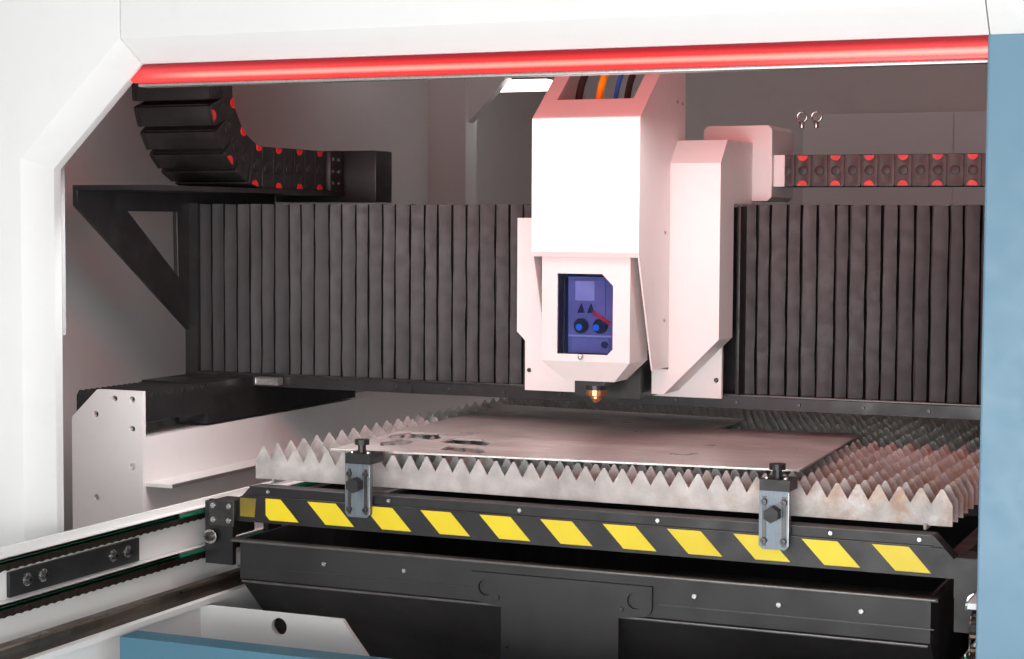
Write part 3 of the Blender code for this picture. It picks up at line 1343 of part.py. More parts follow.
def steel_sheet():
    """Flat steel sheet with a corner already cut away."""
    bottom = SLAT_TIP_Z + TOUCH
    return plate("steel_sheet", "Z", bottom, bottom + SHEET_THICKNESS, sheet_outline())


def clamp(name, x):
    """Fixed plate of a clamp on the front beam, in front of the stripes."""
    back = PALLET_FRONT - TOUCH
    front = back - CLAMP_PLATE_THICKNESS
    half = CLAMP_WIDTH / 2
    step = CLAMP_WIDTH / 8
    outline = [(x - half + step, CLAMP_PLATE_BOTTOM), (x + half - step, CLAMP_PLATE_BOTTOM)]
    outline += [(x + half, CLAMP_PLATE_BOTTOM + step), (x + half, CLAMP_PLATE_TOP), (x - half, CLAMP_PLATE_TOP)]
    outline += [(x - half, CLAMP_PLATE_BOTTOM + step)]
    return plate(name, "Y", front, back, outline)


def clamp_jaw(name, x):
    """Sliding jaw block with its round top knob."""
    back = PALLET_FRONT - TOUCH
    front = back - CLAMP_PLATE_THICKNESS
    half = CLAMP_WIDTH / 2
    top = CLAMP_JAW_BOTTOM + CLAMP_JAW_HEIGHT
    jaw = box(name, (x - half, front, CLAMP_JAW_BOTTOM), (x + half, front + CLAMP_JAW_REACH, top))
    middle = (x, front + CLAMP_JAW_REACH / 3)
    stem = cylinder("stem", "Z", middle, CLAMP_STEM_RADIUS, top - BITE, top + CLAMP_STEM_HEIGHT, SMALL_ROUND_STEPS)
    cap = cylinder("cap", "Z", middle, CLAMP_CAP_RADIUS, top + CLAMP_STEM_HEIGHT - BITE,
                   top + CLAMP_STEM_HEIGHT + CLAMP_CAP_HEIGHT)
    return join(jaw, stem, cap)


def clamp_knob(name, x):
    """Lobed hand knob on the clamp's front, turned about its screw."""
    front = PALLET_FRONT - 2 * TOUCH - CLAMP_PLATE_THICKNESS
    points = []
    steps = CLAMP_KNOB_LOBES * 2
    for i in range(steps):
        radius = CLAMP_KNOB_RADIUS * (1 if i % 2 else CLAMP_KNOB_WAIST_SHARE)
        angle = math.tau * i / steps
        points.append((x + radius * math.cos(angle), CLAMP_KNOB_Z + radius * math.sin(angle)))
    return plate(name, "Y", front - CLAMP_KNOB_LENGTH, front, points)


# Scrap chute

def scrap_chute():
    """Black trough under the pallet: upright front, sloped floor, bright lip, centre plate."""
    sheet = CHUTE_SHEET
    outline = [(CHUTE_FRONT, CHUTE_TOP), (CHUTE_FRONT, CHUTE_KNEE_Z), (CHUTE_FLOOR_START, CHUTE_BOTTOM)]
    outline += [(CHUTE_BACK, CHUTE_BOTTOM), (CHUTE_BACK, CHUTE_TOP)]
    body = plate("scrap_chute", "X", -CHUTE_HALF_WIDTH, CHUTE_HALF_WIDTH, outline)
    inner = [(CHUTE_FRONT + sheet, CHUTE_TOP + OVERRUN), (CHUTE_FRONT + sheet, CHUTE_KNEE_Z + sheet / 2)]
    inner += [(CHUTE_FLOOR_START + sheet / 2, CHUTE_BOTTOM + sheet), (CHUTE_BACK - sheet, CHUTE_BOTTOM + sheet)]
    inner += [(CHUTE_BACK - sheet, CHUTE_TOP + OVERRUN)]
    hollow = plate("hollow", "X", -CHUTE_HALF_WIDTH + sheet, CHUTE_HALF_WIDTH - sheet, inner)
    body = cut(body, hollow)
    lip = box("lip", (-CHUTE_HALF_WIDTH - CHUTE_LIP, CHUTE_FRONT - CHUTE_LIP, CHUTE_TOP - CHUTE_LIP_THICKNESS),
              (CHUTE_HALF_WIDTH + CHUTE_LIP, CHUTE_FRONT + sheet / 2, CHUTE_TOP + BITE / 2))
    front = CHUTE_FRONT - TOW_PLATE_THICKNESS
    ear = TOW_EAR_WIDTH
    left = TOW_PLATE_LEFT
    right = TOW_PLATE_RIGHT
    ear_low = TOW_PLATE_TOP - TOW_EAR_HEIGHT
    round_off = TOW_EAR_ROUNDING
    shoulder = ear_low - TOW_EAR_DROP
    face = [(left + ear, TOW_PLATE_BOTTOM), (right - ear, TOW_PLATE_BOTTOM), (right - ear, shoulder)]
    face += arc(right - round_off, ear_low + round_off, round_off, 270, 360, 3)
    face += [(right, TOW_PLATE_TOP), (left, TOW_PLATE_TOP)]
    face += arc(left + round_off, ear_low + round_off, round_off, 180, 270, 3)
    face += [(left + ear, shoulder)]
    holes = [circle(x, TOW_PLATE_TOP - TOW_EAR_HEIGHT / 2, TOW_HOLE_RADIUS) for x in
             (left + ear / 2, right - ear / 2)]
    centre = plate("centre", "Y", front, CHUTE_FRONT + sheet / 3, face, *holes)
    return join(body, lip, centre)


# Rails

def rail_section(with_web):
    """Left rail's cross section: box and flange, and the web with its two chain guide lips."""
    web_outer = -(RAIL_WEB_X + RAIL_WEB)
    web = -RAIL_WEB_X
    lip = -GUIDE_LIP_X
    flange_low = RAIL_FLANGE_Z - RAIL_FLANGE_THICKNESS
    points = [(web_outer, RAIL_BOX_BOTTOM), (-RAIL_BOX_INNER_X, RAIL_BOX_BOTTOM), (-RAIL_BOX_INNER_X, flange_low)]
    points += [(-RAIL_FLANGE_X, flange_low), (-RAIL_FLANGE_X, RAIL_FLANGE_Z)]
    if not with_web:
        return points + [(web_outer, RAIL_FLANGE_Z)]
    points.append((web, RAIL_FLANGE_Z))
    for z in (LOWER_GUIDE_Z, UPPER_GUIDE_Z):
        points += [(web, z - GUIDE_LIP_THICKNESS), (lip, z - GUIDE_LIP_THICKNESS), (lip, z), (web, z)]
    points += [(web, RAIL_TOP), (web_outer, RAIL_TOP)]
    return points


def rail(name, start, end, leg_places, foot_z, with_web=True):
    """A stretch of the left rail on its legs."""
    body = plate(name, "Y", start, end, rail_section(with_web))
    outer = -(RAIL_WEB_X + RAIL_WEB)
    middle = outer + LEG_SIZE / 2
    pieces = []
    for y in leg_places:
        pieces.append(box("leg", (outer + BITE, y - LEG_SIZE / 2, foot_z),
                          (outer + LEG_SIZE - BITE, y + LEG_SIZE / 2, RAIL_BOX_BOTTOM + BITE)))
        pieces.append(box("foot", (middle - LEG_FOOT / 2, y - LEG_FOOT / 2, foot_z - WELD),
                          (middle + LEG_FOOT / 2, y + LEG_FOOT / 2, foot_z + LEG_FOOT_THICKNESS)))
    return join(body, *pieces)


def open_turn(body, start, end):
    """Take away the lower guide lip where the chain turns."""
    low = LOWER_GUIDE_Z - GUIDE_LIP_THICKNESS - BITE
    turn = box("turn", (-RAIL_WEB_X, start, low), (-GUIDE_LIP_X + OVERRUN, end, LOWER_GUIDE_Z + BITE))
    return cut(body, turn)


def web_gusset(start):
    """White holed plate that stiffens the inner rail's front end."""
    left = -(RAIL_BOX_INNER_X + BITE)
    outline = [(left, WEB_GUSSET_BOTTOM), (WEB_GUSSET_FOOT_RIGHT, WEB_GUSSET_BOTTOM)]
    outline += [(WEB_GUSSET_RIGHT, WEB_GUSSET_SHOULDER_Z), (WEB_GUSSET_RIGHT - GUIDE_MOUTH, WEB_GUSSET_TOP)]
    outline += [(left, WEB_GUSSET_TOP)]
    hole = circle(WEB_GUSSET_HOLE_X, WEB_GUSSET_HOLE_Z, WEB_GUSSET_HOLE_RADIUS)
    return plate("web_gusset", "Y", start, start + WEB_GUSSET_THICKNESS, outline, hole)


def inner_rail():
    """Left rail inside the cabin, with its gusset plate."""
    start = RAIL_JOINT_Y + TOUCH
    body = rail("inner_rail_left", start, INNER_RAIL_END, INNER_LEG_PLACES, BASE_HEIGHT + TOUCH)
    body = open_turn(body, INNER_RAIL_END - CHAIN_TURN, INNER_RAIL_END + OVERRUN)
    return join(body, web_gusset(start + BITE))


def inner_rail_right():
    """Right rail inside the cabin: it starts behind the blue panel, where its chain turns too."""
    start = RIGHT_JOINT_Y + TOUCH
    body = rail("inner_rail", start, INNER_RAIL_END, INNER_LEG_PLACES, BASE_HEIGHT + TOUCH)
    body = open_turn(body, INNER_RAIL_END - CHAIN_TURN, INNER_RAIL_END + OVERRUN)
    body = open_turn(body, start - OVERRUN, start + CHAIN_TURN)
    body = join(body, web_gusset(RAIL_JOINT_Y + TOUCH + BITE))
    right = mirrored(body, "inner_rail_right")
    bpy.data.objects.remove(body, do_unlink=True)
    return right


def outer_frame():
    """Left rail of the outer frame."""
    body = rail("outer_frame_left", OUTER_RAIL_START, RAIL_JOINT_Y, OUTER_LEG_PLACES, WELD)
    return open_turn(body, OUTER_RAIL_START - OVERRUN, OUTER_RAIL_START + CHAIN_TURN)


def outer_frame_right():
    """Right rail of the outer frame, low, with no web and no chain."""
    body = rail("outer_frame", OUTER_RAIL_START, RIGHT_JOINT_Y, OUTER_LEG_PLACES, WELD, False)
    right = mirrored(body, "outer_frame_right")
    bpy.data.objects.remove(body, do_unlink=True)
    return right


def outer_frame_end():
    """Cross beam that ties the outer rails at their far end."""
    half = RAIL_BOX_INNER_X - TOUCH
    low = RAIL_BOX_BOTTOM
    return box("outer_frame_end", (-half, OUTER_RAIL_START, low),
               (half, OUTER_RAIL_START + END_BEAM_DEPTH, low + END_BEAM_HEIGHT))


def drive_chain(name, first_y):
    """Left roller chain: a flat loop with round ends, under the two guide lips."""
    outer = -CHAIN_STRAND_OUTER_X
    inner = -CHAIN_STRAND_INNER_X
    top = UPPER_GUIDE_Z - GUIDE_LIP_THICKNESS - TOUCH
    low_top = LOWER_GUIDE_Z - GUIDE_LIP_THICKNESS - TOUCH
    bottom = low_top - CHAIN_STRAND_HEIGHT
    middle = (top + bottom) / 2
    radius = (top - bottom) / 2
    start = first_y + radius
    end = INNER_RAIL_END - radius
    hole_radius = radius - CHAIN_STRAND_HEIGHT
    outline = arc(start, middle, radius, 270, 90, 8) + arc(end, middle, radius, 90, -90, 8)
    hole = arc(start, middle, hole_radius, 270, 90, 8) + arc(end, middle, hole_radius, 90, -90, 8)
    return plate(name, "X", outer, inner, outline, hole)


def run_rail():
    """Dark steel bar on the rail's flange, on which the pallet's rollers run."""
    bottom = RAIL_FLANGE_Z + TOUCH
    half = RUN_RAIL_WIDTH / 2
    top = bottom + RUN_RAIL_HEIGHT
    edge = RUN_RAIL_HEIGHT / 8
    outline = [(-RUN_RAIL_X - half, bottom), (-RUN_RAIL_X + half, bottom), (-RUN_RAIL_X + half, top - edge)]
    outline += [(-RUN_RAIL_X + half - edge, top), (-RUN_RAIL_X - half + edge, top), (-RUN_RAIL_X - half, top - edge)]
    return plate("run_rail_left", "Y", OUTER_RAIL_START, INNER_RAIL_END, outline)


# Cabin interior

def corner_column():
    """Pale upright on the left wall behind the gantry, with a stiffener under the roof."""
    low = (COLUMN_X, COLUMN_Y, BASE_HEIGHT + TOUCH)
    high = (COLUMN_X + COLUMN_DEPTH, COLUMN_Y + COLUMN_WIDTH, CABIN_HEIGHT - WALL)
    column = box("corner_column", low, high)
    top = high[2]
    left = high[0] - BITE
    outline = [(left, top), (left, top - GUSSET_ROOF_HEIGHT), (left + GUSSET_ROOF_LENGTH, top)]
    start = COLUMN_Y + (COLUMN_WIDTH - GUSSET_ROOF_THICKNESS) / 2
    return join(column, plate("gusset", "Y", start, start + GUSSET_ROOF_THICKNESS, outline))


def work_lamp():
    """White work lamp against the gusset's back."""
    start = COLUMN_Y + (COLUMN_WIDTH + GUSSET_ROOF_THICKNESS) / 2 + TOUCH
    left = COLUMN_X + COLUMN_DEPTH + TOUCH
    return box("work_lamp", (left, start, LAMP_Z), (left + LAMP_LENGTH, start + LAMP_WIDTH, LAMP_Z + LAMP_HEIGHT))


def rear_cabinet():
    """Grey cabinets on the back wall, with door seams."""
    back = CABIN_LENGTH - WALL - TOUCH
    body = box("rear_cabinet", (CABINET_LEFT, CABINET_FRONT, CABINET_BOTTOM), (CABINET_RIGHT, back, CABINET_TOP))
    cutters = []
    for x in spread(CABINET_LEFT, CABINET_RIGHT, CABINET_SEAMS + 2)[1:-1]:
        cutters.append(box("seam", (x - SEAM_WIDTH / 2, CABINET_FRONT - OVERRUN, CABINET_BOTTOM - OVERRUN),
                           (x + SEAM_WIDTH / 2, CABINET_FRONT + SEAM_DEPTH, CABINET_TOP + OVERRUN)))
    return cut(body, *cutters)


def build():
    """Make every piece and hang the moving ones on their carriers."""
    clear_scene()
    machine = Machine()
    machine.carrier("gantry_slide", (0, GANTRY_FRONT, BEAM_TOP))
    machine.carrier("carriage_slide", (CARRIAGE_LEFT, CARRIAGE_FRONT, CARRIAGE_BOTTOM), "gantry_slide")
    machine.carrier("head_slide", (HEAD_LEFT, NOZZLE_Y, HEAD_TOP), "carriage_slide")
    machine.carrier("pallet_slide", (0, PALLET_FRONT, PALLET_BEAM_BOTTOM))
    machine.carrier("door_slide", (0, DOOR_FRONT, DOOR_BOTTOM))

    machine.add(base_frame(), PALE_GREY)
    for panel in front_panels():
        machine.add(panel, WHITE)
    machine.add(blue_side_panel(), BLUE)
    machine.add(lower_front_panel(), BLUE)
    machine.add(side_wall("side_wall_left", -1), WHITE)
    machine.add(side_wall("side_wall_right", 1), WHITE)
    machine.add(back_wall(), WHITE)
    machine.add(roof(), WHITE)
    machine.add(light_bar(), RED_GLOW)
    machine.add(door_guide("door_guide_left", DOOR_LEFT, 1, FRONT_WALL + TOUCH), PALE_GREY)
    right_front = DOORWAY_BEVEL + BLUE_PANEL_THICKNESS + 2 * TOUCH
    machine.add(door_guide("door_guide_right", DOOR_RIGHT, -1, right_front), PALE_GREY)
    machine.add(lift_door(), BLUE, "door_slide")
    machine.add(corner_column(), WHITE)
    machine.add(work_lamp(), LAMP_WHITE)
    machine.add(rear_cabinet(), PALE_GREY)

    for maker, look in ((side_beam, WHITE), (guide_rail, STEEL), (way_bellows, FABRIC), (run_rail, DARK_STEEL)):
        left = machine.add(maker(), look)
        right = mirrored(left, left.name.replace("left", "right"))
        machine.add(right, look)
    for maker in (inner_rail, inner_rail_right, outer_frame, outer_frame_right):
        machine.add(maker(), WHITE)
    machine.add(drive_chain("drive_chain_left", OUTER_RAIL_START), DARK_STEEL)
    inner_loop = drive_chain("drive_chain", RIGHT_JOINT_Y + TOUCH)
    machine.add(mirrored(inner_loop, "drive_chain_right"), DARK_STEEL)
    bpy.data.objects.remove(inner_loop, do_unlink=True)
    machine.add(outer_frame_end(), WHITE)
    machine.add(scrap_chute(), BLACK)

    left = machine.add(gantry_truck(), BLACK, "gantry_slide")
    machine.add(mirrored(left, "gantry_truck_right"), BLACK, "gantry_slide")
    machine.add(gantry_beam(), BLACK, "gantry_slide")
    machine.add(gantry_apron(), BLACK, "gantry_slide")
    edge = GANTRY_BEAM_HALF_LENGTH
    machine.add(front_bellows("bellows_left", -edge, CARRIAGE_BLOCK_LEFT - TOUCH), FABRIC, "gantry_slide")
    machine.add(front_bellows("bellows_right", CARRIAGE_BLOCK_RIGHT + TOUCH, edge), FABRIC, "gantry_slide")
    machine.add(chain_bracket(), BLACK, "gantry_slide")
    machine.add(gantry_end("gantry_end_right", 1), BLACK, "gantry_slide")
    machine.add(y_chain(), PLASTIC, "gantry_slide")
    machine.add(x_chain(), PLASTIC, "gantry_slide")

    machine.add(carriage(), WHITE, "carriage_slide")
    machine.add(head_cowl(), WHITE, "carriage_slide")
    machine.add(side_cowl(), WHITE, "carriage_slide")
    machine.add(rear_box(), WHITE, "carriage_slide")
    machine.add(head_cover(), WHITE, "head_slide")
    machine.add(safety_window(), GLASS_BLUE, "head_slide")
    machine.add(cutting_head(), CHROME, "head_slide")
    machine.add(nozzle(), COPPER, "head_slide")

    machine.add(pallet_frame(), BLACK, "pallet_slide")
    machine.add(slat_grid(), ZINC, "pallet_slide")
    machine.add(steel_sheet(), STEEL, "pallet_slide")
    for side, x in (("left", CLAMP_LEFT_X), ("right", CLAMP_RIGHT_X)):
        machine.add(clamp("clamp_plate_" + side, x), PALE_GREY, "pallet_slide")
        machine.add(clamp_jaw("clamp_jaw_" + side, x), BLACK, "pallet_slide")
        screw = (x, PALLET_FRONT, CLAMP_KNOB_Z)
        machine.add(clamp_knob("clamp_knob_" + side, x), BLACK, "pallet_slide", screw)


build()
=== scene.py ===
"""Looks of the laser cutting machine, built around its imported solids.

Metres, +Z up: X runs across the machine, Y into it, and the front wall's outer face is at y = 0.
"""

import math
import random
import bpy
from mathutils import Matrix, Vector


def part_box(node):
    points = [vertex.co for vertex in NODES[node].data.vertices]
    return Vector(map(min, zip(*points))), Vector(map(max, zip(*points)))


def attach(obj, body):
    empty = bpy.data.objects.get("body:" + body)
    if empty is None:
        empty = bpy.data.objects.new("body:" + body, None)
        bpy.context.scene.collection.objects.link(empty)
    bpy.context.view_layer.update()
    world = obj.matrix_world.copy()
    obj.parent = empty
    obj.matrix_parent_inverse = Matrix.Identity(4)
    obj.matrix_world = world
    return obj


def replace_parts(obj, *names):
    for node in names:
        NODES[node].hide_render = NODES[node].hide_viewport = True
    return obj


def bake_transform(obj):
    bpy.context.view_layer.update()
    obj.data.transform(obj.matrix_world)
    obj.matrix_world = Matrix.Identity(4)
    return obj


bl_info = {
    "name": "Laser Cutting Machine",
    "version": (1, 0, 0),
    "blender": (4, 5, 0),
    "location": "3D View > Sidebar > Laser Machine",
    "description": "Builds the visible pieces and finishes of a sheet metal laser cutter",
    "category": "Object",
}

import bmesh
import bpy
from mathutils import Matrix, Vector

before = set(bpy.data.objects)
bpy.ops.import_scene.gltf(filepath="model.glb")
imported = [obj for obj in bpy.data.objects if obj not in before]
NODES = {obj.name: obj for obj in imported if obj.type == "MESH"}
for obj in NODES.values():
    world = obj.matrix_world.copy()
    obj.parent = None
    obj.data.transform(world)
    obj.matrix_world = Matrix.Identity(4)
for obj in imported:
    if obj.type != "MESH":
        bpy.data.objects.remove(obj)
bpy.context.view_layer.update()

FACING = {
    "X": Matrix(((0, 0, 1, 0), (1, 0, 0, 0), (0, 1, 0, 0), (0, 0, 0, 1))),
    "Y": Matrix(((1, 0, 0, 0), (0, 0, 1, 0), (0, 1, 0, 0), (0, 0, 0, 1))),
    "Z": Matrix.Identity(4),
}
TO_FRONT = Vector((0, -1, 0))
TO_RIGHT = Vector((1, 0, 0))
UPWARDS = Vector((0, 0, 1))


# Modelling steps shared by the pieces

def choose(*things):
    """Make these the only selected objects, the first one active."""
    bpy.ops.object.select_all(action="DESELECT")
    for thing in things:
        thing.select_set(True)
    bpy.context.view_layer.objects.active = things[0]


def named(thing, name):
    """Name an object and its mesh alike."""
    thing.name = name
    thing.data.name = name
    return thing


def started(name):
    """Name the primitive just added and put its place into its mesh."""
    bpy.ops.object.transform_apply(location=True, rotation=True, scale=True)
    return named(bpy.context.object, name)


def start_box(name, low, high):
    """A box between two corners."""
    bpy.ops.object.select_all(action="DESELECT")
    middle = [(a + b) / 2 for a, b in zip(low, high)]
    size = [b - a for a, b in zip(low, high)]
    bpy.ops.mesh.primitive_cube_add(size=1, location=middle, scale=size)
    return started(name)


def start_rod(name, radius, length, sides=12):
    """A round bar on the origin, rising from z = 0."""
    bpy.ops.object.select_all(action="DESELECT")
    bpy.ops.mesh.primitive_cone_add(vertices=sides, radius1=radius, radius2=radius, depth=length,
                                    location=(0, 0, length / 2))
    return started(name)


def start_ring(name, radius, thickness):
    """A ring on the origin, in the plane z = 0, with its seams bevelled."""
    bpy.ops.object.select_all(action="DESELECT")
    bpy.ops.mesh.primitive_torus_add(major_radius=radius, minor_radius=thickness, major_segments=20,
                                     minor_segments=8)
    return finished(started(name), "BEVEL", width=0.0001, segments=1)


def drawn(name, axis, start, end, *outlines):
    """A flat drawing, with any holes in it, given thickness along one axis."""
    curve = bpy.data.curves.new(name, "CURVE")
    curve.dimensions = "2D"
    curve.fill_mode = "BOTH"
    curve.extrude = abs(end - start) / 2
    for outline in outlines:
        spline = curve.splines.new("POLY")
        spline.points.add(len(outline) - 1)
        for point, (u, v) in zip(spline.points, outline):
            point.co = (u, v, 0, 1)
        spline.use_cyclic_u = True
    return meshed(name, curve, FACING[axis] @ shift(z=(start + end) / 2))


def tube(name, points, radius):
    """A round tube along a smooth line, closed at both ends."""
    curve = bpy.data.curves.new(name, "CURVE")
    curve.dimensions = "3D"
    curve.bevel_depth = radius
    curve.bevel_resolution = 2
    curve.resolution_u = 6
    curve.use_fill_caps = True
    spline = curve.splines.new("NURBS")
    spline.points.add(len(points) - 1)
    for point, place in zip(spline.points, points):
        point.co = (*place, 1)
    spline.use_endpoint_u = True
    spline.order_u = 4
    return meshed(name, curve, Matrix.Identity(4))


def meshed(name, curve, move):
    """Turn a curve into a closed mesh and put it in place."""
    thing = bpy.data.objects.new(name, curve)
    bpy.context.collection.objects.link(thing)
    choose(thing)
    bpy.ops.object.convert(target="MESH")
    thing = bpy.context.object
    thing.data.name = name
    thing.data.transform(move)
    return cleaned(thing)


def cleaned(thing):
    """Weld doubled points and turn every face outwards."""
    choose(thing)
    bpy.ops.object.mode_set(mode="EDIT")
    bpy.ops.mesh.select_all(action="SELECT")
    bpy.ops.mesh.remove_doubles(threshold=0.00001)
    bpy.ops.mesh.normals_make_consistent(inside=False)
    bpy.ops.object.mode_set(mode="OBJECT")
    return thing


def edited(thing, kind, rule, *steps):
    """Pick parts of a mesh by a rule and run edit mode steps on them."""
    choose(thing)
    bpy.ops.object.mode_set(mode="EDIT")
    bpy.ops.mesh.select_mode(type=kind)
    bpy.ops.mesh.select_all(action="DESELECT")
    shape = bmesh.from_edit_mesh(thing.data)
    for part in shape.verts if kind == "VERT" else shape.faces:
        if rule(part):
            part.select_set(True)
    bmesh.update_edit_mesh(thing.data)
    for step, settings in steps:
        step(**settings)
    bpy.ops.object.mode_set(mode="OBJECT")
    return thing


def inset(thickness):
    return bpy.ops.mesh.inset, {"thickness": thickness}


def slide(x, y, z):
    return bpy.ops.transform.translate, {"value": (x, y, z)}


def facing(direction, limit=0.9):
    """A rule that picks faces turned towards a direction."""
    return lambda face: face.normal.dot(Vector(direction)) > limit


def finished(thing, kind, **settings):
    """Add a modifier and apply it."""
    choose(thing)
    bpy.ops.object.modifier_add(type=kind)
    change = thing.modifiers[-1]
    for key, value in settings.items():
        setattr(change, key, value)
    bpy.ops.object.modifier_apply(modifier=change.name)
    return thing


def softened(thing, width, segments=2):
    """Round the hard edges of a piece."""
    return finished(thing, "BEVEL", width=width, segments=segments, limit_method="ANGLE",
                    angle_limit=math.radians(30))


def recessed(thing, direction, rim, depth):
    """Inset the faces that look in a direction and press them in."""
    return edited(thing, "FACE", facing(direction), inset(rim), slide(*(Vector(direction) * -depth)))


def rimmed(thing, rim):
    """Inset the top faces of a piece that stands on the origin."""
    return edited(thing, "FACE", facing(UPWARDS), inset(rim))


def moved(thing, move):
    thing.data.transform(move)
    return thing


def repeated(thing, moves):
    """Copy a modelled piece by each move, every copy with its own mesh, and join them."""
    made = []
    for move in moves:
        twin = thing.copy()
        twin.data = thing.data.copy()
        bpy.context.collection.objects.link(twin)
        made.append(moved(twin, move))
    name = thing.name
    bpy.data.objects.remove(thing, do_unlink=True)
    return joined(name, made)


def joined(name, things):
    """Join several pieces into one object."""
    choose(*things)
    if len(things) > 1:
        bpy.ops.object.join()
    return named(bpy.context.object, name)


def shift(x=0, y=0, z=0):
    return Matrix.Translation((x, y, z))


def stand_at(place, direction):
    """A move that puts a piece modelled upright on the origin onto a face."""
    turn = UPWARDS.rotation_difference(Vector(direction)).to_matrix().to_4x4()
    return Matrix.Translation(place) @ turn


def dressed(thing, paint, angle):
    """Give a piece its finish and smooth shading up to an angle."""
    thing.data.materials.clear()
    thing.data.materials.append(finish(paint))
    choose(thing)
    bpy.ops.object.shade_smooth_by_angle(angle=math.radians(angle))


def placed(thing, body, paint, slot="bright_steel", angle=35):
    """Finish a piece that moves with one body."""
    dressed(thing, paint, angle)
    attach(thing, body)
    return thing


def bent(thing, paint, angle=30):
    """Finish a soft or linked piece that spans a joint."""
    dressed(thing, paint, angle)
    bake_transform(thing)
    return thing


def strip(name, low, high, rounding, segments=2):
    """A thin bar with soft edges."""
    return softened(start_box(name, low, high), rounding, segments)


def screws(name, radius, height, spots, direction, body, paint):
    """Like round screw heads with sunk sockets, standing on a face."""
    head = edited(start_rod(name, radius, height), "FACE", facing(UPWARDS), inset(radius * 0.14),
                  slide(0, 0, radius * 0.12), inset(radius * 0.38), inset(radius * 0.02),
                  slide(0, 0, -height * 0.6))
    placed(repeated(head, [stand_at(spot, direction) for spot in spots]), body, paint)


def washers(name, radius, height, sides, rounding, spots, direction, body):
    """Like round washers, standing on a face."""
    disc = softened(rimmed(start_rod(name, radius, height, sides), 0.003), rounding)
    placed(repeated(disc, [stand_at(spot, direction) for spot in spots]), body, "bolt")


def spread(first, last, count):
    return [first + (last - first) * i / (count - 1) for i in range(count)]


# Finishes

class Finish:
    """Builds one procedural material, node by node."""

    def __init__(self, name, roughness=0.5, metallic=0.0):
        self.material = bpy.data.materials.new(name)
        self.material.use_nodes = True
        self.tree = self.material.node_tree
        self.sockets = self.tree.nodes["Principled BSDF"].inputs
        self.sockets["Roughness"].default_value = roughness
        self.sockets["Metallic"].default_value = metallic
        self.place = self.add("ShaderNodeTexCoord", "Object", {})

    def add(self, kind, output, inputs, **settings):
        """Add a node, feed its inputs and give one of its outputs."""
        node = self.tree.nodes.new(kind)
        for key, value in settings.items():
            setattr(node, key, value)
        for key, value in inputs.items():
            self.feed(node.inputs[key], value)
        return node.outputs[output]

    def feed(self, socket, value):
        if isinstance(value, bpy.types.NodeSocket):
            self.tree.links.new(value, socket)
        else:
            socket.default_value = value

    def noise(self, scale, detail=4.0, roughness=0.5, stretch=None):
        """Noise over the piece, drawn out by a scale on each axis where one is given."""
        place = self.place
        if stretch:
            place = self.add("ShaderNodeMapping", "Vector", {"Vector": place, "Scale": stretch})
        return self.add("ShaderNodeTexNoise", "Fac",
                        {"Vector": place, "Scale": scale, "Detail": detail, "Roughness": roughness})

    def span(self, value, low, high, start=0.0, end=1.0):
        """Carry a value from one range to another, held at both ends."""
        return self.add("ShaderNodeMapRange", "Result", {"Value": value, "From Min": low, "From Max": high,
                                                         "To Min": start, "To Max": end})

    def times(self, first, second, operation="MULTIPLY"):
        return self.add("ShaderNodeMath", 0, {0: first, 1: second}, operation=operation)

    def axis(self, letter):
        """One coordinate of the place on the piece."""
        return self.add("ShaderNodeSeparateXYZ", letter, {"Vector": self.place})

    def mixed(self, amount, first, second):
        inputs = {0: amount}
        for socket, part in ((6, first), (7, second)):
            inputs[socket] = part if isinstance(part, bpy.types.NodeSocket) else (*part, 1)
        return self.add("ShaderNodeMix", 2, inputs, data_type="RGBA")

    def over(self, base, colour, grain, reach, amount=1.0, least=0.0):
        """Lay a colour over another where a noise is high."""
        return self.mixed(self.span(self.noise(*grain), *reach, least, amount), base, colour)

    def surface(self, colour, gloss, height, strength, distance):
        """Set the colour, a roughness that wanders between two values, and the relief."""
        self.feed(self.sockets["Base Color"], colour)
        value, low, high, start, end = gloss
        self.feed(self.sockets["Roughness"], self.span(value, low, high, start, end))
        return self.relief(height, strength, distance)

    def relief(self, height, strength, distance):
        self.feed(self.sockets["Normal"], self.add("ShaderNodeBump", "Normal", {
            "Height": height, "Strength": strength, "Distance": distance}))
        return self.material

    def matt(self, scale, detail, start, end):
        """Roughness settings from a noise."""
        return self.noise(scale, detail), 0.3, 0.7, start, end


def shade(colour, share):
    return tuple(part * share for part in colour)


def powder_paint(name, colour, roughness=0.42, soil=0.10):
    """Powder coat: a fine orange peel, faint clouding and a little soiling."""
    paint = Finish(name)
    base = paint.over(colour, shade(colour, 0.95), (1.7, 5), (0.35, 0.70))
    base = paint.over(base, (0.30, 0.27, 0.24), (9, 8, 0.65), (0.56, 0.80), soil)
    return paint.surface(base, paint.matt(26, 4, roughness - 0.06, roughness + 0.08),
                         paint.noise(520, 2), 0.10, 0.0006)


def black_paint(name, colour=(0.014, 0.014, 0.015), roughness=0.38, dust=0.22):
    """Black satin paint with dust and fine rubbed streaks."""
    paint = Finish(name)
    base = paint.over(colour, (0.10, 0.095, 0.09), (14, 9, 0.7), (0.50, 0.80), dust)
    base = paint.over(base, (0.07, 0.07, 0.072), (60, 6, 0.7, (0.25, 1, 6)), (0.66, 0.74), 0.35)
    return paint.surface(base, paint.matt(18, 5, roughness - 0.08, roughness + 0.14),
                         paint.noise(420, 3), 0.14, 0.0005)


def chute_paint(name):
    """Worn black paint of the chute: grey dust, drip marks and bare nicks."""
    paint = Finish(name)
    base = paint.over((0.013, 0.013, 0.014), (0.048, 0.047, 0.048), (3.2, 8, 0.6, (1, 1, 0.5)), (0.36, 0.72),
                      0.75, 0.1)
    base = paint.over(base, (0.16, 0.155, 0.15), (46, 6, 0.75, (1, 1, 1.6)), (0.70, 0.76), 0.55)
    return paint.surface(base, paint.matt(12, 5, 0.36, 0.58), paint.noise(260, 4), 0.16, 0.0006)


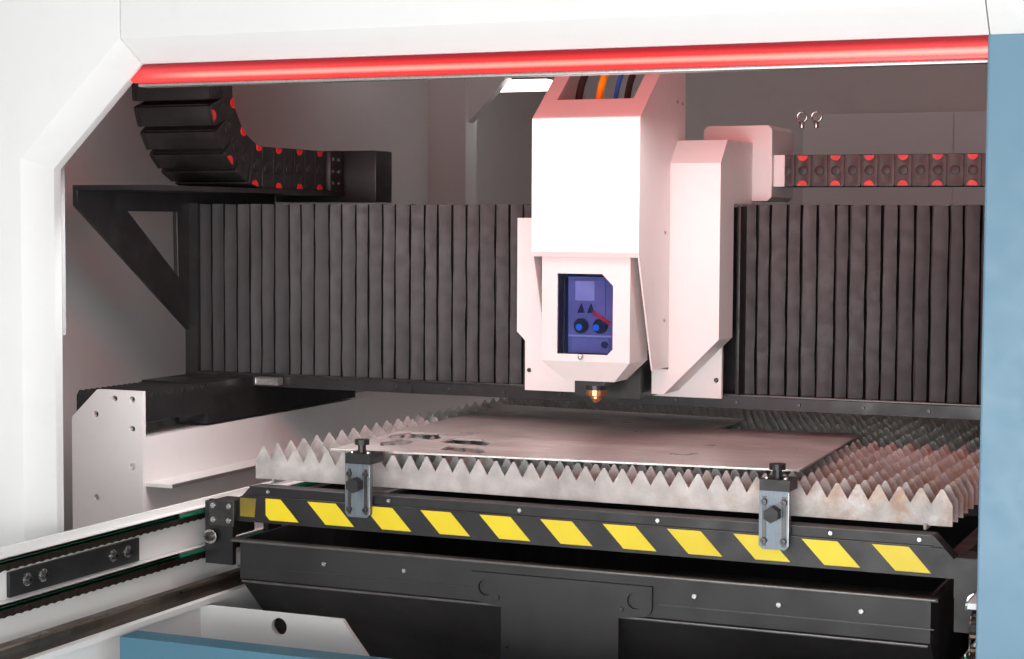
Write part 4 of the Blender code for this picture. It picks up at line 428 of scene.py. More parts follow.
def bellows_cloth(name, ridge_y=None, valley_y=None):
    """Coated fabric of the bellows: fine grain; with a ridge depth given, a painted highlight along the outer
    folds and painted shade in the valleys.
    """
    paint = Finish(name)
    base = paint.over((0.0105, 0.0108, 0.0115), (0.018, 0.0185, 0.0195), (5, 6), (0.3, 0.7))
    if ridge_y is not None:
        # Painted highlight near each ridge and painted shade towards each valley of the pleats.
        ridge_highlight = paint.span(paint.axis("Y"), ridge_y + 0.0035, ridge_y, 0.0, 0.6)
        valley_shade = paint.span(paint.axis("Y"), ridge_y + 0.010, valley_y, 0.0, 0.75)
        base = paint.mixed(ridge_highlight, base, (0.048, 0.048, 0.051))
        base = paint.mixed(valley_shade, base, (0.005, 0.005, 0.005))
    base = paint.over(base, (0.042, 0.0415, 0.043), (30, 7, 0.7, (1, 1, 0.3)), (0.58, 0.80), 0.35)
    weave = paint.add("ShaderNodeTexVoronoi", "Distance", {"Vector": paint.place, "Scale": 620})
    grain = paint.times(paint.times(weave, 0.5), paint.noise(12, 6), "ADD")
    return paint.surface(base, paint.matt(40, 3, 0.46, 0.66), grain, 0.22, 0.0016)


def hard_plastic(name, colour, roughness=0.45):
    """Moulded plastic with a fine matt grain."""
    paint = Finish(name)
    base = paint.over(colour, shade(colour, 1.5), (20, 5), (0.35, 0.7))
    return paint.surface(base, paint.matt(55, 4, roughness - 0.06, roughness + 0.10),
                         paint.noise(700, 2), 0.12, 0.0004)


def zinc_slats(name):
    """Galvanised slat steel: spangle, cut edges, and orange scale towards the right and back."""
    paint = Finish(name, metallic=0.35)
    base = paint.over((0.45, 0.435, 0.42), (0.67, 0.65, 0.63), (30, 4), (0.3, 0.7))
    base = paint.over(base, (0.20, 0.185, 0.175), (7, 7, 0.65), (0.45, 0.75), 0.55)
    to_right = paint.span(paint.axis("X"), 0.05, 0.62, 0.02, 1.0)
    scale = paint.times(paint.span(paint.noise(16, 8, 0.7), 0.45, 0.66), to_right)
    base = paint.mixed(paint.times(scale, 0.7), base, (0.40, 0.21, 0.09))
    return paint.surface(base, paint.matt(60, 5, 0.42, 0.68), paint.noise(180, 6), 0.35, 0.0012)


def sheet_steel(name):
    """Hot rolled sheet: dark mill scale, rubbed pale patches and long hair lines."""
    paint = Finish(name, metallic=0.35)
    base = paint.over((0.46, 0.44, 0.42), (0.68, 0.66, 0.635), (26, 7, 0.7, (0.35, 3.2, 1)), (0.35, 0.70))
    base = paint.over(base, (0.92, 0.90, 0.88), (2.6, 7, 0.62, (0.8, 1.6, 1)), (0.50, 0.72), 0.8)
    return paint.surface(base, paint.matt(8, 6, 0.26, 0.50),
                         paint.noise(90, 6, 0.6, (0.4, 2, 1)), 0.10, 0.0008)


def bare_steel(name, colour, roughness=0.32, stretch=(1, 0.08, 1), metallic=0.9):
    """Drawn or ground steel with lines along one axis."""
    paint = Finish(name, metallic=metallic)
    lines = paint.noise(240, 5, 0.6, stretch)
    base = paint.mixed(paint.span(lines, 0.3, 0.7), shade(colour, 0.72), shade(colour, 1.15))
    base = paint.over(base, shade(colour, 0.35), (11, 7, 0.65), (0.50, 0.78), 0.5)
    return paint.surface(base, (lines, 0.3, 0.7, roughness - 0.08, roughness + 0.12), lines, 0.08, 0.0003)


def oily_steel(name):
    """Brown oiled steel of the runway bar."""
    paint = Finish(name, metallic=0.7)
    lines = paint.noise(40, 6, 0.65, (1, 0.05, 1))
    base = paint.mixed(paint.span(lines, 0.3, 0.7), (0.050, 0.034, 0.026), (0.17, 0.135, 0.105))
    base = paint.over(base, (0.030, 0.022, 0.018), (6, 7, 0.6), (0.5, 0.7), 0.7)
    return paint.surface(base, paint.matt(15, 5, 0.24, 0.46), lines, 0.15, 0.0005)


def hazard_paint(name, colour, faded):
    """Yellow marking with scuffs."""
    paint = Finish(name)
    base = paint.over(colour, faded, (6, 4), (0.3, 0.7))
    base = paint.over(base, (0.22, 0.18, 0.06), (55, 8, 0.75, (0.5, 1, 2)), (0.62, 0.76), 0.5)
    return paint.surface(base, paint.matt(24, 4, 0.34, 0.52), paint.noise(300, 3), 0.08, 0.0004)


def glowing(name, colour, strength, roughness=0.25):
    """A glowing surface, a little cloudy: lamp lenses and LEDs, and the optics behind the safety window,
    whose glow is painted light.
    """
    paint = Finish(name, roughness)
    paint.feed(paint.sockets["Base Color"], paint.over(colour, shade(colour, 0.8), (14, 5), (0.3, 0.7)))
    paint.sockets["Emission Color"].default_value = (*colour, 1)
    paint.sockets["Emission Strength"].default_value = strength
    return paint.relief(paint.noise(240, 3), 0.05, 0.0004)


def red_lens(name, strength):
    """Lens of the bar: deep red above, a pale streak of painted highlight along its middle, saturated at its
    round end.
    """
    paint = Finish(name, 0.22)
    height = paint.times(paint.axis("Z"), paint.times(paint.noise(160, 3), 0.0016), "ADD")
    base = paint.mixed(paint.span(height, 1.7150, 1.7260), (0.62, 0.026, 0.025), (0.22, 0.006, 0.011))
    # Painted highlight: a pale streak along the lens's middle, left off its round end.
    highlight_band = paint.times(paint.span(height, 1.7010, 1.7065), paint.span(height, 1.7150, 1.7085))
    highlight_streak = paint.times(highlight_band, paint.span(paint.axis("X"), -0.76, -0.62))
    base = paint.mixed(paint.times(highlight_streak, 0.85), base, (0.92, 0.26, 0.21))
    paint.feed(paint.sockets["Base Color"], base)
    paint.feed(paint.sockets["Emission Color"], base)
    paint.sockets["Emission Strength"].default_value = strength
    return paint.relief(paint.noise(200, 3), 0.05, 0.0004)


def blue_glass(name):
    """Laser safety pane, deep blue and see-through."""
    paint = Finish(name)
    smear = paint.span(paint.noise(22, 5), 0.3, 0.7)
    paint.sockets["Transmission Weight"].default_value = 1.0
    paint.sockets["IOR"].default_value = 1.2
    return paint.surface(paint.mixed(smear, (0.56, 0.62, 0.92), (0.48, 0.54, 0.88)),
                         (smear, 0.0, 1.0, 0.02, 0.09), paint.noise(60, 2), 0.02, 0.0003)


PAINTS = {}


def finish(name):
    """The finish of this name, made when first asked for."""
    looks = bpy.context.scene.laser_looks
    white = tuple(looks.white)
    recipes = {
        "white": (powder_paint, "white_powder_coat", white),
        # The cabin's inside has the same white paint; this copy at 80 per cent of it is painted shade.
        "shaded_white": (powder_paint, "white_cabin_coat", shade(white, 0.80), 0.36, 0.16),
        "grey": (powder_paint, "grey_powder_coat", (0.36, 0.36, 0.37), 0.45),
        "cabinet": (powder_paint, "cabinet_coat", (0.50, 0.50, 0.50), 0.45),
        "side_blue": (powder_paint, "blue_panel_coat", tuple(looks.blue), 0.40, 0.05),
        "fold_blue": (powder_paint, "teal_fold_coat", tuple(looks.teal), 0.34, 0.05),
        "floor": (powder_paint, "studio_floor_coat", (0.78, 0.78, 0.78), 0.55, 0.02),
        "black": (black_paint, "black_satin_coat"),
        "beam_black": (black_paint, "black_beam_coat", (0.017, 0.017, 0.019), 0.33, 0.30),
        "chute": (chute_paint, "worn_chute_coat"),
        "cloth": (bellows_cloth, "bellows_cloth", looks.ridge_y, looks.ridge_y + looks.pleat_depth),
        "plain_cloth": (bellows_cloth, "way_cover_cloth"),
        "plastic": (hard_plastic, "black_moulded_plastic", (0.013, 0.013, 0.013)),
        "red_plastic": (hard_plastic, "red_moulded_plastic", (0.52, 0.022, 0.020), 0.40),
        "green": (hard_plastic, "green_slide_strip", (0.0, 0.155, 0.075), 0.35),
        "rubber": (hard_plastic, "black_hose", (0.018, 0.018, 0.018), 0.50),
        "blue_hose": (hard_plastic, "blue_hose", (0.02, 0.14, 0.52), 0.30),
        "yellow_hose": (hard_plastic, "amber_hose", (0.90, 0.42, 0.01), 0.35),
        "zinc": (zinc_slats, "zinc_slat_steel"),
        "sheet": (sheet_steel, "rolled_sheet_steel"),
        "runway": (oily_steel, "oiled_runway_steel"),
        "edge": (bare_steel, "bright_cut_edge", (0.62, 0.60, 0.57), 0.30, (0.1, 0.1, 1), 0.6),
        "bright": (bare_steel, "ground_steel", (0.52, 0.51, 0.50)),
        "bolt": (bare_steel, "bolt_steel", (0.58, 0.57, 0.56), 0.24, (1, 1, 1)),
        "dark_bolt": (bare_steel, "black_bolt_steel", (0.10, 0.10, 0.10), 0.34, (1, 1, 1)),
        "clamp": (bare_steel, "blued_clamp_steel", (0.20, 0.235, 0.27), 0.42, (1, 1, 0.1), 0.55),
        "alloy": (bare_steel, "drawn_aluminium", (0.50, 0.49, 0.48), 0.38),
        "chain": (bare_steel, "oiled_chain_steel", (0.085, 0.060, 0.048), 0.34, (1, 1, 1), 0.8),
        "worn_edge": (bare_steel, "worn_black_edge", (0.16, 0.155, 0.15), 0.34, (0.15, 1, 1), 0.4),
        "copper": (bare_steel, "turned_copper", (0.78, 0.36, 0.17), 0.26, (1, 1, 8)),
        "chrome": (bare_steel, "polished_chrome", (0.78, 0.78, 0.78), 0.14, (1, 1, 1), 1.0),
        "yellow": (hazard_paint, "hazard_yellow", (0.93, 0.76, 0.02), (0.84, 0.66, 0.02)),
        "dark_yellow": (hazard_paint, "soiled_marking", (0.42, 0.32, 0.02), (0.16, 0.12, 0.02)),
        "red_light": (red_lens, "red_light_lens", looks.bar_glow),
        "glass": (blue_glass, "blue_safety_glass"),
        "lamp": (glowing, "work_lamp_lens", (1.0, 0.97, 0.93), 3.0),
        # The optics behind the safety window are no lamps; their glow is painted light.
        "lit_panel": (glowing, "optics_plate", (0.20, 0.21, 0.34), 0.25, 0.4),
        "lit_pale": (glowing, "optics_cover", (0.42, 0.44, 0.58), 0.30, 0.4),
        "lit_dark": (glowing, "optics_dark", (0.018, 0.020, 0.035), 0.2, 0.4),
        "blue_knob": (glowing, "optics_knob", (0.02, 0.16, 0.60), 0.45, 0.3),
        "red_lever": (glowing, "optics_lever", (0.60, 0.03, 0.05), 0.40, 0.3),
        "led_orange": (glowing, "led_orange", (1.0, 0.45, 0.05), 2.0),
        "led_green": (glowing, "led_green", (0.70, 1.0, 0.15), 1.6),
    }
    if name not in PAINTS:
        maker, *settings = recipes[name]
        PAINTS[name] = maker(*settings)
    return PAINTS[name]


# Sizes and colours

def colour_choice(name, description, default):
    return bpy.props.FloatVectorProperty(name=name, description=description, size=3, subtype="COLOR",
                                         default=default, min=0, max=1)


def length_choice(name, description, default):
    return bpy.props.FloatProperty(name=name, description=description, default=default, subtype="DISTANCE",
                                   unit="LENGTH")


class LaserLooks(bpy.types.PropertyGroup):
    """Sizes and colours that a user would change."""

    white: colour_choice("White paint", "Colour of the white panels", (0.80, 0.80, 0.79))
    blue: colour_choice("Side panel blue", "Colour of the panel at the doorway", (0.120, 0.245, 0.345))
    teal: colour_choice("Folded panel blue", "Colour of the low folded panel", (0.060, 0.165, 0.235))
    bar_glow: bpy.props.FloatProperty(name="Bar glow", description="Brightness of the red bar", default=0.85,
                                      min=0)
    ridge_y: length_choice("Ridge depth", "How far in the bellows' ridges stand", 1.1657)
    pleat_depth: length_choice("Pleat depth", "Depth of a bellows pleat", 0.046)
    pleats: bpy.props.IntProperty(name="Pleats", description="Pleats of the left curtain", default=25, min=4)
    slat_count: bpy.props.IntProperty(name="Slats", description="Number of slats", default=49, min=2)
    slat_pitch: length_choice("Slat pitch", "Distance between slats", 0.06)
    slat_teeth: bpy.props.IntProperty(name="Teeth", description="Teeth of each slat", default=38, min=4)
    stripe_pitch: length_choice("Stripe pitch", "Distance between hazard stripes", 0.1367)
    roller_pitch: length_choice("Chain pitch", "Pitch of the roller chains", 0.0254)


# Pieces

class MachinePiece:
    """Shared by the operators: each one is an undoable step of the build."""

    bl_options = {"REGISTER", "UNDO"}


CAD_FINISHES = (
    ("white", ("front_panel_left", "lintel_panel", "front_panel_right", "carriage_plate", "head_cowl",
               "side_cowl", "rear_box", "head_cover", "side_beam_left", "side_beam_right", "inner_rail_left",
               "inner_rail_right", "outer_frame_left", "outer_frame_right", "outer_frame_end")),
    # Cabin walls, roof, back wall and column take the white darkened as painted shade.
    ("shaded_white", ("side_wall_left", "side_wall_right", "back_wall", "roof", "corner_column")),
    ("side_blue", ("blue_side_panel", "lift_door")),
    ("fold_blue", ("lower_front_panel",)),
    ("cabinet", ("rear_cabinet",)),
    ("grey", ("base_frame", "door_guide_left", "door_guide_right")),
    ("black", ("gantry_truck_left", "gantry_truck_right", "chain_bracket", "gantry_end_right",
               "pallet_frame", "clamp_jaw_left", "clamp_jaw_right")),
    ("beam_black", ("gantry_beam", "gantry_apron", "cutting_head")),
    ("chute", ("scrap_chute",)),
    ("clamp", ("clamp_plate_left", "clamp_plate_right")),
    ("plastic", ("clamp_knob_left", "clamp_knob_right")),
    ("runway", ("run_rail_left", "run_rail_right")),
    ("bright", ("guide_rail_left", "guide_rail_right")),
    ("copper", ("nozzle",)),
    ("glass", ("safety_window",)),
    ("lamp", ("work_lamp",)),
)


class LASER_OT_casing(MachinePiece, bpy.types.Operator):
    """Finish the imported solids: painted panels, beams, rails and covers"""

    bl_idname = "laser.casing"
    bl_label = "Casing"

    def execute(self, context):
        for paint, names in CAD_FINISHES:
            for name in names:
                for slot in NODES[name].material_slots:
                    slot.material = finish(paint)
        return {"FINISHED"}


class LASER_OT_front_wall(MachinePiece, bpy.types.Operator):
    """White front wall in three panels, with the bevel all round the doorway"""

    bl_idname = "laser.front_wall"
    bl_label = "Front Wall"

    def execute(self, context):
        foot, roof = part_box("front_panel_left")[0].z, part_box("lintel_panel")[1].z
        side = 1.8
        left, right, top, bevel = -1.016, 1.45, 1.778, 0.047
        slant_width, slant_height = 0.244, 0.233
        mitre, slant = left + slant_width, top - slant_height
        rise = slant_height / slant_width
        reach = bevel * math.hypot(slant_width, slant_height) / slant_width
        under = top - bevel
        knee = mitre + (reach - bevel) / rise
        gap = 0.0009
        joint = 0.892
        self.panel("front_panel_left", (
            (-side, foot), (left + bevel, foot, left, foot),
            (left + bevel, slant + bevel * rise - reach, left, slant),
            (knee - gap, under, mitre - gap, top), (mitre - gap, roof), (-side, roof)))
        self.panel("lintel_panel", (
            (knee + gap, under, mitre + gap, top), (joint - gap, under, joint - gap, top),
            (joint - gap, roof), (mitre + gap, roof)))
        self.panel("front_panel_right", (
            (joint + gap, under, joint + gap, top), (right - bevel, under, right, top),
            (right - bevel, foot, right, foot), (side, foot), (side, roof), (joint + gap, roof)))
        return {"FINISHED"}

    def panel(self, node, points):
        """One panel; where a point of the outline has a second place, its front corner is drawn there."""
        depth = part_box("front_panel_left")[1].y
        panel = drawn(node + "_shell", "Y", 0, depth, [point[:2] for point in points])
        choose(panel)
        bpy.ops.object.mode_set(mode="EDIT")
        bpy.ops.mesh.select_all(action="SELECT")
        bpy.ops.mesh.bisect(plane_co=(0, 0.047, 0), plane_no=(0, 1, 0))
        bpy.ops.object.mode_set(mode="OBJECT")
        for x, z, new_x, new_z in (point for point in points if len(point) == 4):
            edited(panel, "VERT",
                   lambda v: v.co.y < 0.001 and abs(v.co.x - x) < 0.001 and abs(v.co.z - z) < 0.001,
                   slide(new_x - x, 0, new_z - z))
        panel = softened(cleaned(panel), 0.0012)
        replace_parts(placed(panel, "machine", "white", "white_paint", 20), node)


class LASER_OT_light_bar(MachinePiece, bpy.types.Operator):
    """Red light bar with a rounded end, on a pale strip under the lintel"""

    bl_idname = "laser.light_bar"
    bl_label = "Light Bar"

    def execute(self, context):
        low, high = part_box("light_bar")
        half = 0.018
        middle = high.z - 0.001 - half
        turns = [math.radians(90 + 15 * i) for i in range(13)]
        outline = [(low.x + half + half * math.cos(a), middle + half * math.sin(a)) for a in turns]
        outline += [(high.x, middle - half), (high.x, middle + half)]
        bar = softened(drawn("light_bar_lens", "Y", low.y, high.y, outline), 0.009, 5)
        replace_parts(placed(bar, "machine", "red_light", "red_light"), "light_bar")
        backing = strip("light_bar_strip", (low.x + 0.02, low.y + 0.004, middle - half - 0.007),
                        (high.x, high.y - 0.004, middle - half - 0.0005), 0.0015)
        placed(backing, "machine", "alloy", "grey_paint")
        return {"FINISHED"}


def curtain(node, left, right, pleats, seed, looks):
    """Pleated cloth between two upright edges, hung with a little unevenness."""
    low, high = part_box(node)
    bpy.ops.object.select_all(action="DESELECT")
    bpy.ops.mesh.primitive_grid_add(x_subdivisions=pleats * 4, y_subdivisions=9, size=1,
                                    location=((left + right) / 2, looks.ridge_y, (low.z + high.z) / 2),
                                    rotation=(math.pi / 2, 0, 0))
    bpy.ops.transform.resize(value=(right - left, 1, high.z - low.z))
    cloth = started(node + "_curtain")
    step = (right - left) / (pleats * 4)
    place = random.Random(seed)
    drift = [place.uniform(-0.35, 0.35) for _ in range(pleats + 1)]
    for row, across, inward in ((1, 1.85, looks.pleat_depth * 0.12), (2, 1.40, looks.pleat_depth - 0.003),
                                (3, 0.80, looks.pleat_depth * 0.06)):
        edited(cloth, "VERT",
               lambda v: abs((v.co.x - left) / step % 4 - row) < 0.1 and v.co.y < looks.ridge_y + 0.001,
               slide(step * across, inward, 0))
    for fold in range(1, pleats):
        start = left + (fold * 4 - 2.3) * step
        edited(cloth, "VERT", lambda v: start < v.co.x < start + step * 3.9, slide(drift[fold] * step, 0, 0))
    edited(cloth, "VERT", lambda v: left + step < v.co.x < right - step,
           (bpy.ops.transform.vertex_random, {"offset": 0.0012, "uniform": 1.0, "seed": seed}))
    return cleaned(finished(cloth, "SOLIDIFY", thickness=0.0022, offset=1))


class LASER_OT_bellows(MachinePiece, bpy.types.Operator):
    """Pleated curtains beside the head, their end flange, and the covers on the bed's beams"""

    bl_idname = "laser.bellows"
    bl_label = "Bellows"

    def execute(self, context):
        looks = context.scene.laser_looks
        for node, inset_left, pleats, seed, bodies in (
                ("bellows_left", 0, looks.pleats, 3, ("gantry", "carriage")),
                ("bellows_right", 0.075, round(looks.pleats * 1.28), 8, ("carriage", "gantry"))):
            low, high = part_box(node)
            cloth = curtain(node, low.x + inset_left, high.x, pleats, seed, looks)
            bent(cloth, "cloth", angle=18)
            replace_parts(cloth, node)
        flange = strip("bellows_flange", (0.155, 1.115, 1.02), (0.165, 1.205, 1.462), 0.002)
        placed(flange, "carriage", "black", "black_paint")
        for node in ("way_bellows_left", "way_bellows_right"):
            low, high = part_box(node)
            cover = bpy.data.objects.new(node + "_cover", NODES[node].data.copy())
            bpy.context.collection.objects.link(cover)
            bent(cleaned(cover), "plain_cloth")
            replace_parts(cover, node)
        return {"FINISHED"}


# Energy chains

def chain_line(bend, low, radius, low_start, high_end, forward):
    """Centre line of a looped chain as a function of the way along it: place, height and slope."""
    low_run = abs(bend - low_start)
    turn = math.pi * radius

    def place(way):
        if way < low_run:
            return low_start + forward * way, low, 0 if forward > 0 else math.pi
        if way < low_run + turn:
            angle = (way - low_run) / radius
            slope = angle if forward > 0 else math.pi - angle
            return bend + forward * radius * math.sin(angle), low + radius - radius * math.cos(angle), slope
        back = way - low_run - turn
        return bend - forward * back, low + 2 * radius, math.pi if forward > 0 else 0

    return place, low_run + turn + abs(bend - high_end)


def link_plates(name, pitch, height, width, sheet):
    """One chain link about the origin, along y: shaped side plates, cross bars and a filled core."""
    u = pitch / 2
    v = height / 2
    outline = [(-u, -v * 0.90), (-u * 0.88, -v), (u * 0.88, -v), (u, -v * 0.90),
               (u, v * 0.90), (u * 0.88, v), (-u * 0.88, v), (-u, v * 0.90)]
    things = []
    for side in (-1, 1):
        outer = side * width / 2
        plate = recessed(drawn(name, "X", outer, outer - side * sheet, outline), (side, 0, 0),
                         height * 0.13, height * 0.02)
        things.append(softened(plate, height * 0.012))
        boss = moved(start_rod(name, height * 0.15, sheet * 0.5, 14),
                     stand_at((outer - side * sheet * 0.45, 0, 0), (side, 0, 0)))
        things.append(softened(boss, height * 0.01))
    for side in (-1, 1):
        things.append(strip(name, (-width / 2 + sheet, -u * 0.90, side * v * 0.93 - 0.003),
                            (width / 2 - sheet, u * 0.90, side * v * 0.93 + 0.003), 0.0015))
    things.append(start_box(name, (-width / 2 + sheet * 1.2, -u * 1.02, -v * 0.84),
                            (width / 2 - sheet * 1.2, u * 1.02, v * 0.84)))
    return joined(name, things)


def half_discs(name, height, width, radius):
    """Red half round marks on both edges of both side plates of a link."""
    turns = [math.radians(15 * i) for i in range(13)]
    things = []
    for side in (-1, 1):
        for edge in (-1, 1):
            outer = side * (width / 2 + 0.0012)
            arc = [(radius * math.cos(a), edge * (height / 2 - 0.002 - radius * math.sin(a))) for a in turns]
            things.append(softened(drawn(name, "X", outer, outer - side * 0.0045, arc), 0.0006, 1))
    return joined(name, things)


def along(place, ways, across, turned):
    """Moves that put links on a chain's line; turned chains run along x."""
    moves = []
    for way in ways:
        run, height, slope = place(way)
        if turned:
            spin = Matrix.Rotation(-slope, 4, "Y") @ Matrix.Rotation(-math.pi / 2, 4, "Z")
            moves.append(shift(run, across, height) @ spin)
        else:
            moves.append(shift(across, run, height) @ Matrix.Rotation(slope, 4, "X"))
    return moves


def chain_pieces(name, pitch, height, width, mark, moves):
    """The links of a chain, and the red marks on every second one."""
    links = repeated(link_plates(name + "_links", pitch / 2, height, width, height * 0.09), moves)
    marks = repeated(half_discs(name + "_marks", height, width, mark), moves[::2])
    return (links, "plastic", "black_plastic", 25), (marks, "red_plastic", "black_plastic", 25)


def linked_chain(node, pitch, height, width, mark, moves):
    """A chain that spans two bodies, its links finished and fixed in place."""
    for thing, paint, slot, angle in chain_pieces(node, pitch, height, width, mark, moves):
        bent(thing, paint, angle)
        if paint == "plastic":
            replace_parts(thing, node)


class LASER_OT_energy_chains(MachinePiece, bpy.types.Operator):
    """Energy chains of the gantry and the carriage, link by link"""

    bl_idname = "laser.energy_chains"
    bl_label = "Energy Chains"

    def execute(self, context):
        self.gantry_chain()
        self.carriage_chain()
        return {"FINISHED"}

    def gantry_chain(self):
        low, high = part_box("y_chain")
        height, pitch, fixed_y = 0.110, 0.111, 1.58
        radius = (high.z - low.z - height) / 2
        base = low.z + height / 2
        bend = low.y + radius + height / 2
        place, length = chain_line(bend, base, radius, fixed_y, high.y, -1)
        ways = [pitch * (i + 2) / 2 for i in range(int(2 * length / pitch - 1.2))]
        middle = (low.x + high.x) / 2
        linked_chain("y_chain", pitch, height, high.x - low.x - 0.003, 0.0145,
                     along(place, ways, middle, False))
        bracket = start_box("y_chain_end", (low.x, 1.527, low.z), (high.x, 1.597, low.z + height))
        bracket = softened(recessed(bracket, TO_RIGHT, 0.008, 0.004), 0.002)
        placed(bracket, "gantry", "plastic", "black_plastic")
        spots = [(high.x - 0.0035, y, low.z + z) for y in (1.545, 1.578) for z in (0.022, 0.055, 0.088)]
        screws("y_chain_end_screws", 0.005, 0.003, spots, TO_RIGHT, "gantry", "bolt")
        box = strip("cable_box", (-1.384, 1.615, 1.475), (-1.052, 1.715, 1.622), 0.004)
        placed(box, "gantry", "black", "black_paint")

    def carriage_chain(self):
        low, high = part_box("x_chain")
        height, pitch, mark = 0.075, 0.0795, 0.0125
        radius = (high.z - low.z - height) / 2
        base = low.z + height / 2
        bend = high.x - radius - height / 2
        place, length = chain_line(bend, base, radius, low.x, low.x + 0.027, 1)
        ways = [pitch * (i + 1) / 2 for i in range(int(2 * length / pitch))]
        middle = (low.y + high.y) / 2
        width = high.y - low.y - 0.003
        moves = along(place, ways, middle, True)
        resting = 2 * int((bend - low.x) / pitch)
        for thing, *looks in chain_pieces("x_chain_resting", pitch, height, width, mark, moves[:resting]):
            placed(thing, "gantry", *looks)
        linked_chain("x_chain", pitch, height, width, mark, moves[resting:])


class LASER_OT_gantry(MachinePiece, bpy.types.Operator):
    """Gantry details: shelf gusset and clips, apron edge and screws"""

    bl_idname = "laser.gantry"
    bl_label = "Gantry"

    def execute(self, context):
        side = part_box("chain_bracket")[0].x
        gusset = drawn("shelf_gusset", "X", side - 0.0006, side + 0.0126,
                       [(0.665, 1.5045), (0.665, 1.456), (1.152, 1.128), (1.152, 1.5045)],
                       [(0.876, 1.444), (1.095, 1.444), (1.100, 1.273)])
        placed(softened(gusset, 0.001, 1), "gantry", "black", "black_paint")
        clip = recessed(strip("shelf_clips", (-0.008, -0.008, 0), (0.008, 0.008, 0.006), 0.002), UPWARDS,
                        0.002, 0.002)
        placed(repeated(clip, [shift(-1.372, y, 1.506) for y in (0.91, 0.989, 1.13)]), "gantry", "bolt")
        edge = strip("apron_edge", (-1.15, 1.148, 1.0135), (1.15, 1.156, 1.0195), 0.0012)
        placed(edge, "gantry", "dark_bolt")
        spots = [(x, 1.1499, 1.000) for x in spread(-1.05, 1.05, 15)]
        screws("apron_screws", 0.005, 0.003, spots, TO_FRONT, "gantry", "dark_bolt")
        lug = start_box("apron_sensor", (-1.150, 1.118, 0.992), (-1.080, 1.145, 1.012))
        placed(softened(recessed(lug, TO_FRONT, 0.003, 0.002), 0.0015), "gantry", "alloy")
        return {"FINISHED"}


class LASER_OT_carriage(MachinePiece, bpy.types.Operator):
    """Screws of the cowls, and hoses in the cowl's slot"""

    bl_idname = "laser.carriage"
    bl_label = "Carriage"

    def execute(self, context):
        spots = [(-0.360, 1.0972, 1.061), (0.115, 1.0972, 1.055)]
        screws("carriage_screws", 0.0045, 0.0025, spots, TO_FRONT, "carriage", "dark_bolt")
        spots = [(0.0332, y, z) for y, z in ((1.033, 1.700), (1.070, 1.698), (0.955, 1.40), (0.955, 1.20))]
        screws("cowl_screws", 0.0042, 0.0022, spots, TO_RIGHT, "carriage", "bolt")
        hoses = ((-0.168, 0.009, "rubber"), (-0.118, 0.0085, "yellow_hose"), (-0.078, 0.0055, "blue_hose"),
                 (-0.050, 0.008, "rubber"))
        for index, (x, radius, paint) in enumerate(hoses):
            line = [(x, 0.905, 1.60), (x, 0.915, 1.70), (x + 0.003, 0.95, 1.775), (x + 0.004, 1.02, 1.792),
                    (x + 0.004, 1.090, 1.790)]
            placed(tube("cowl_hose_%d" % (index + 1), line, radius), "carriage", paint, "black_plastic")
        return {"FINISHED"}


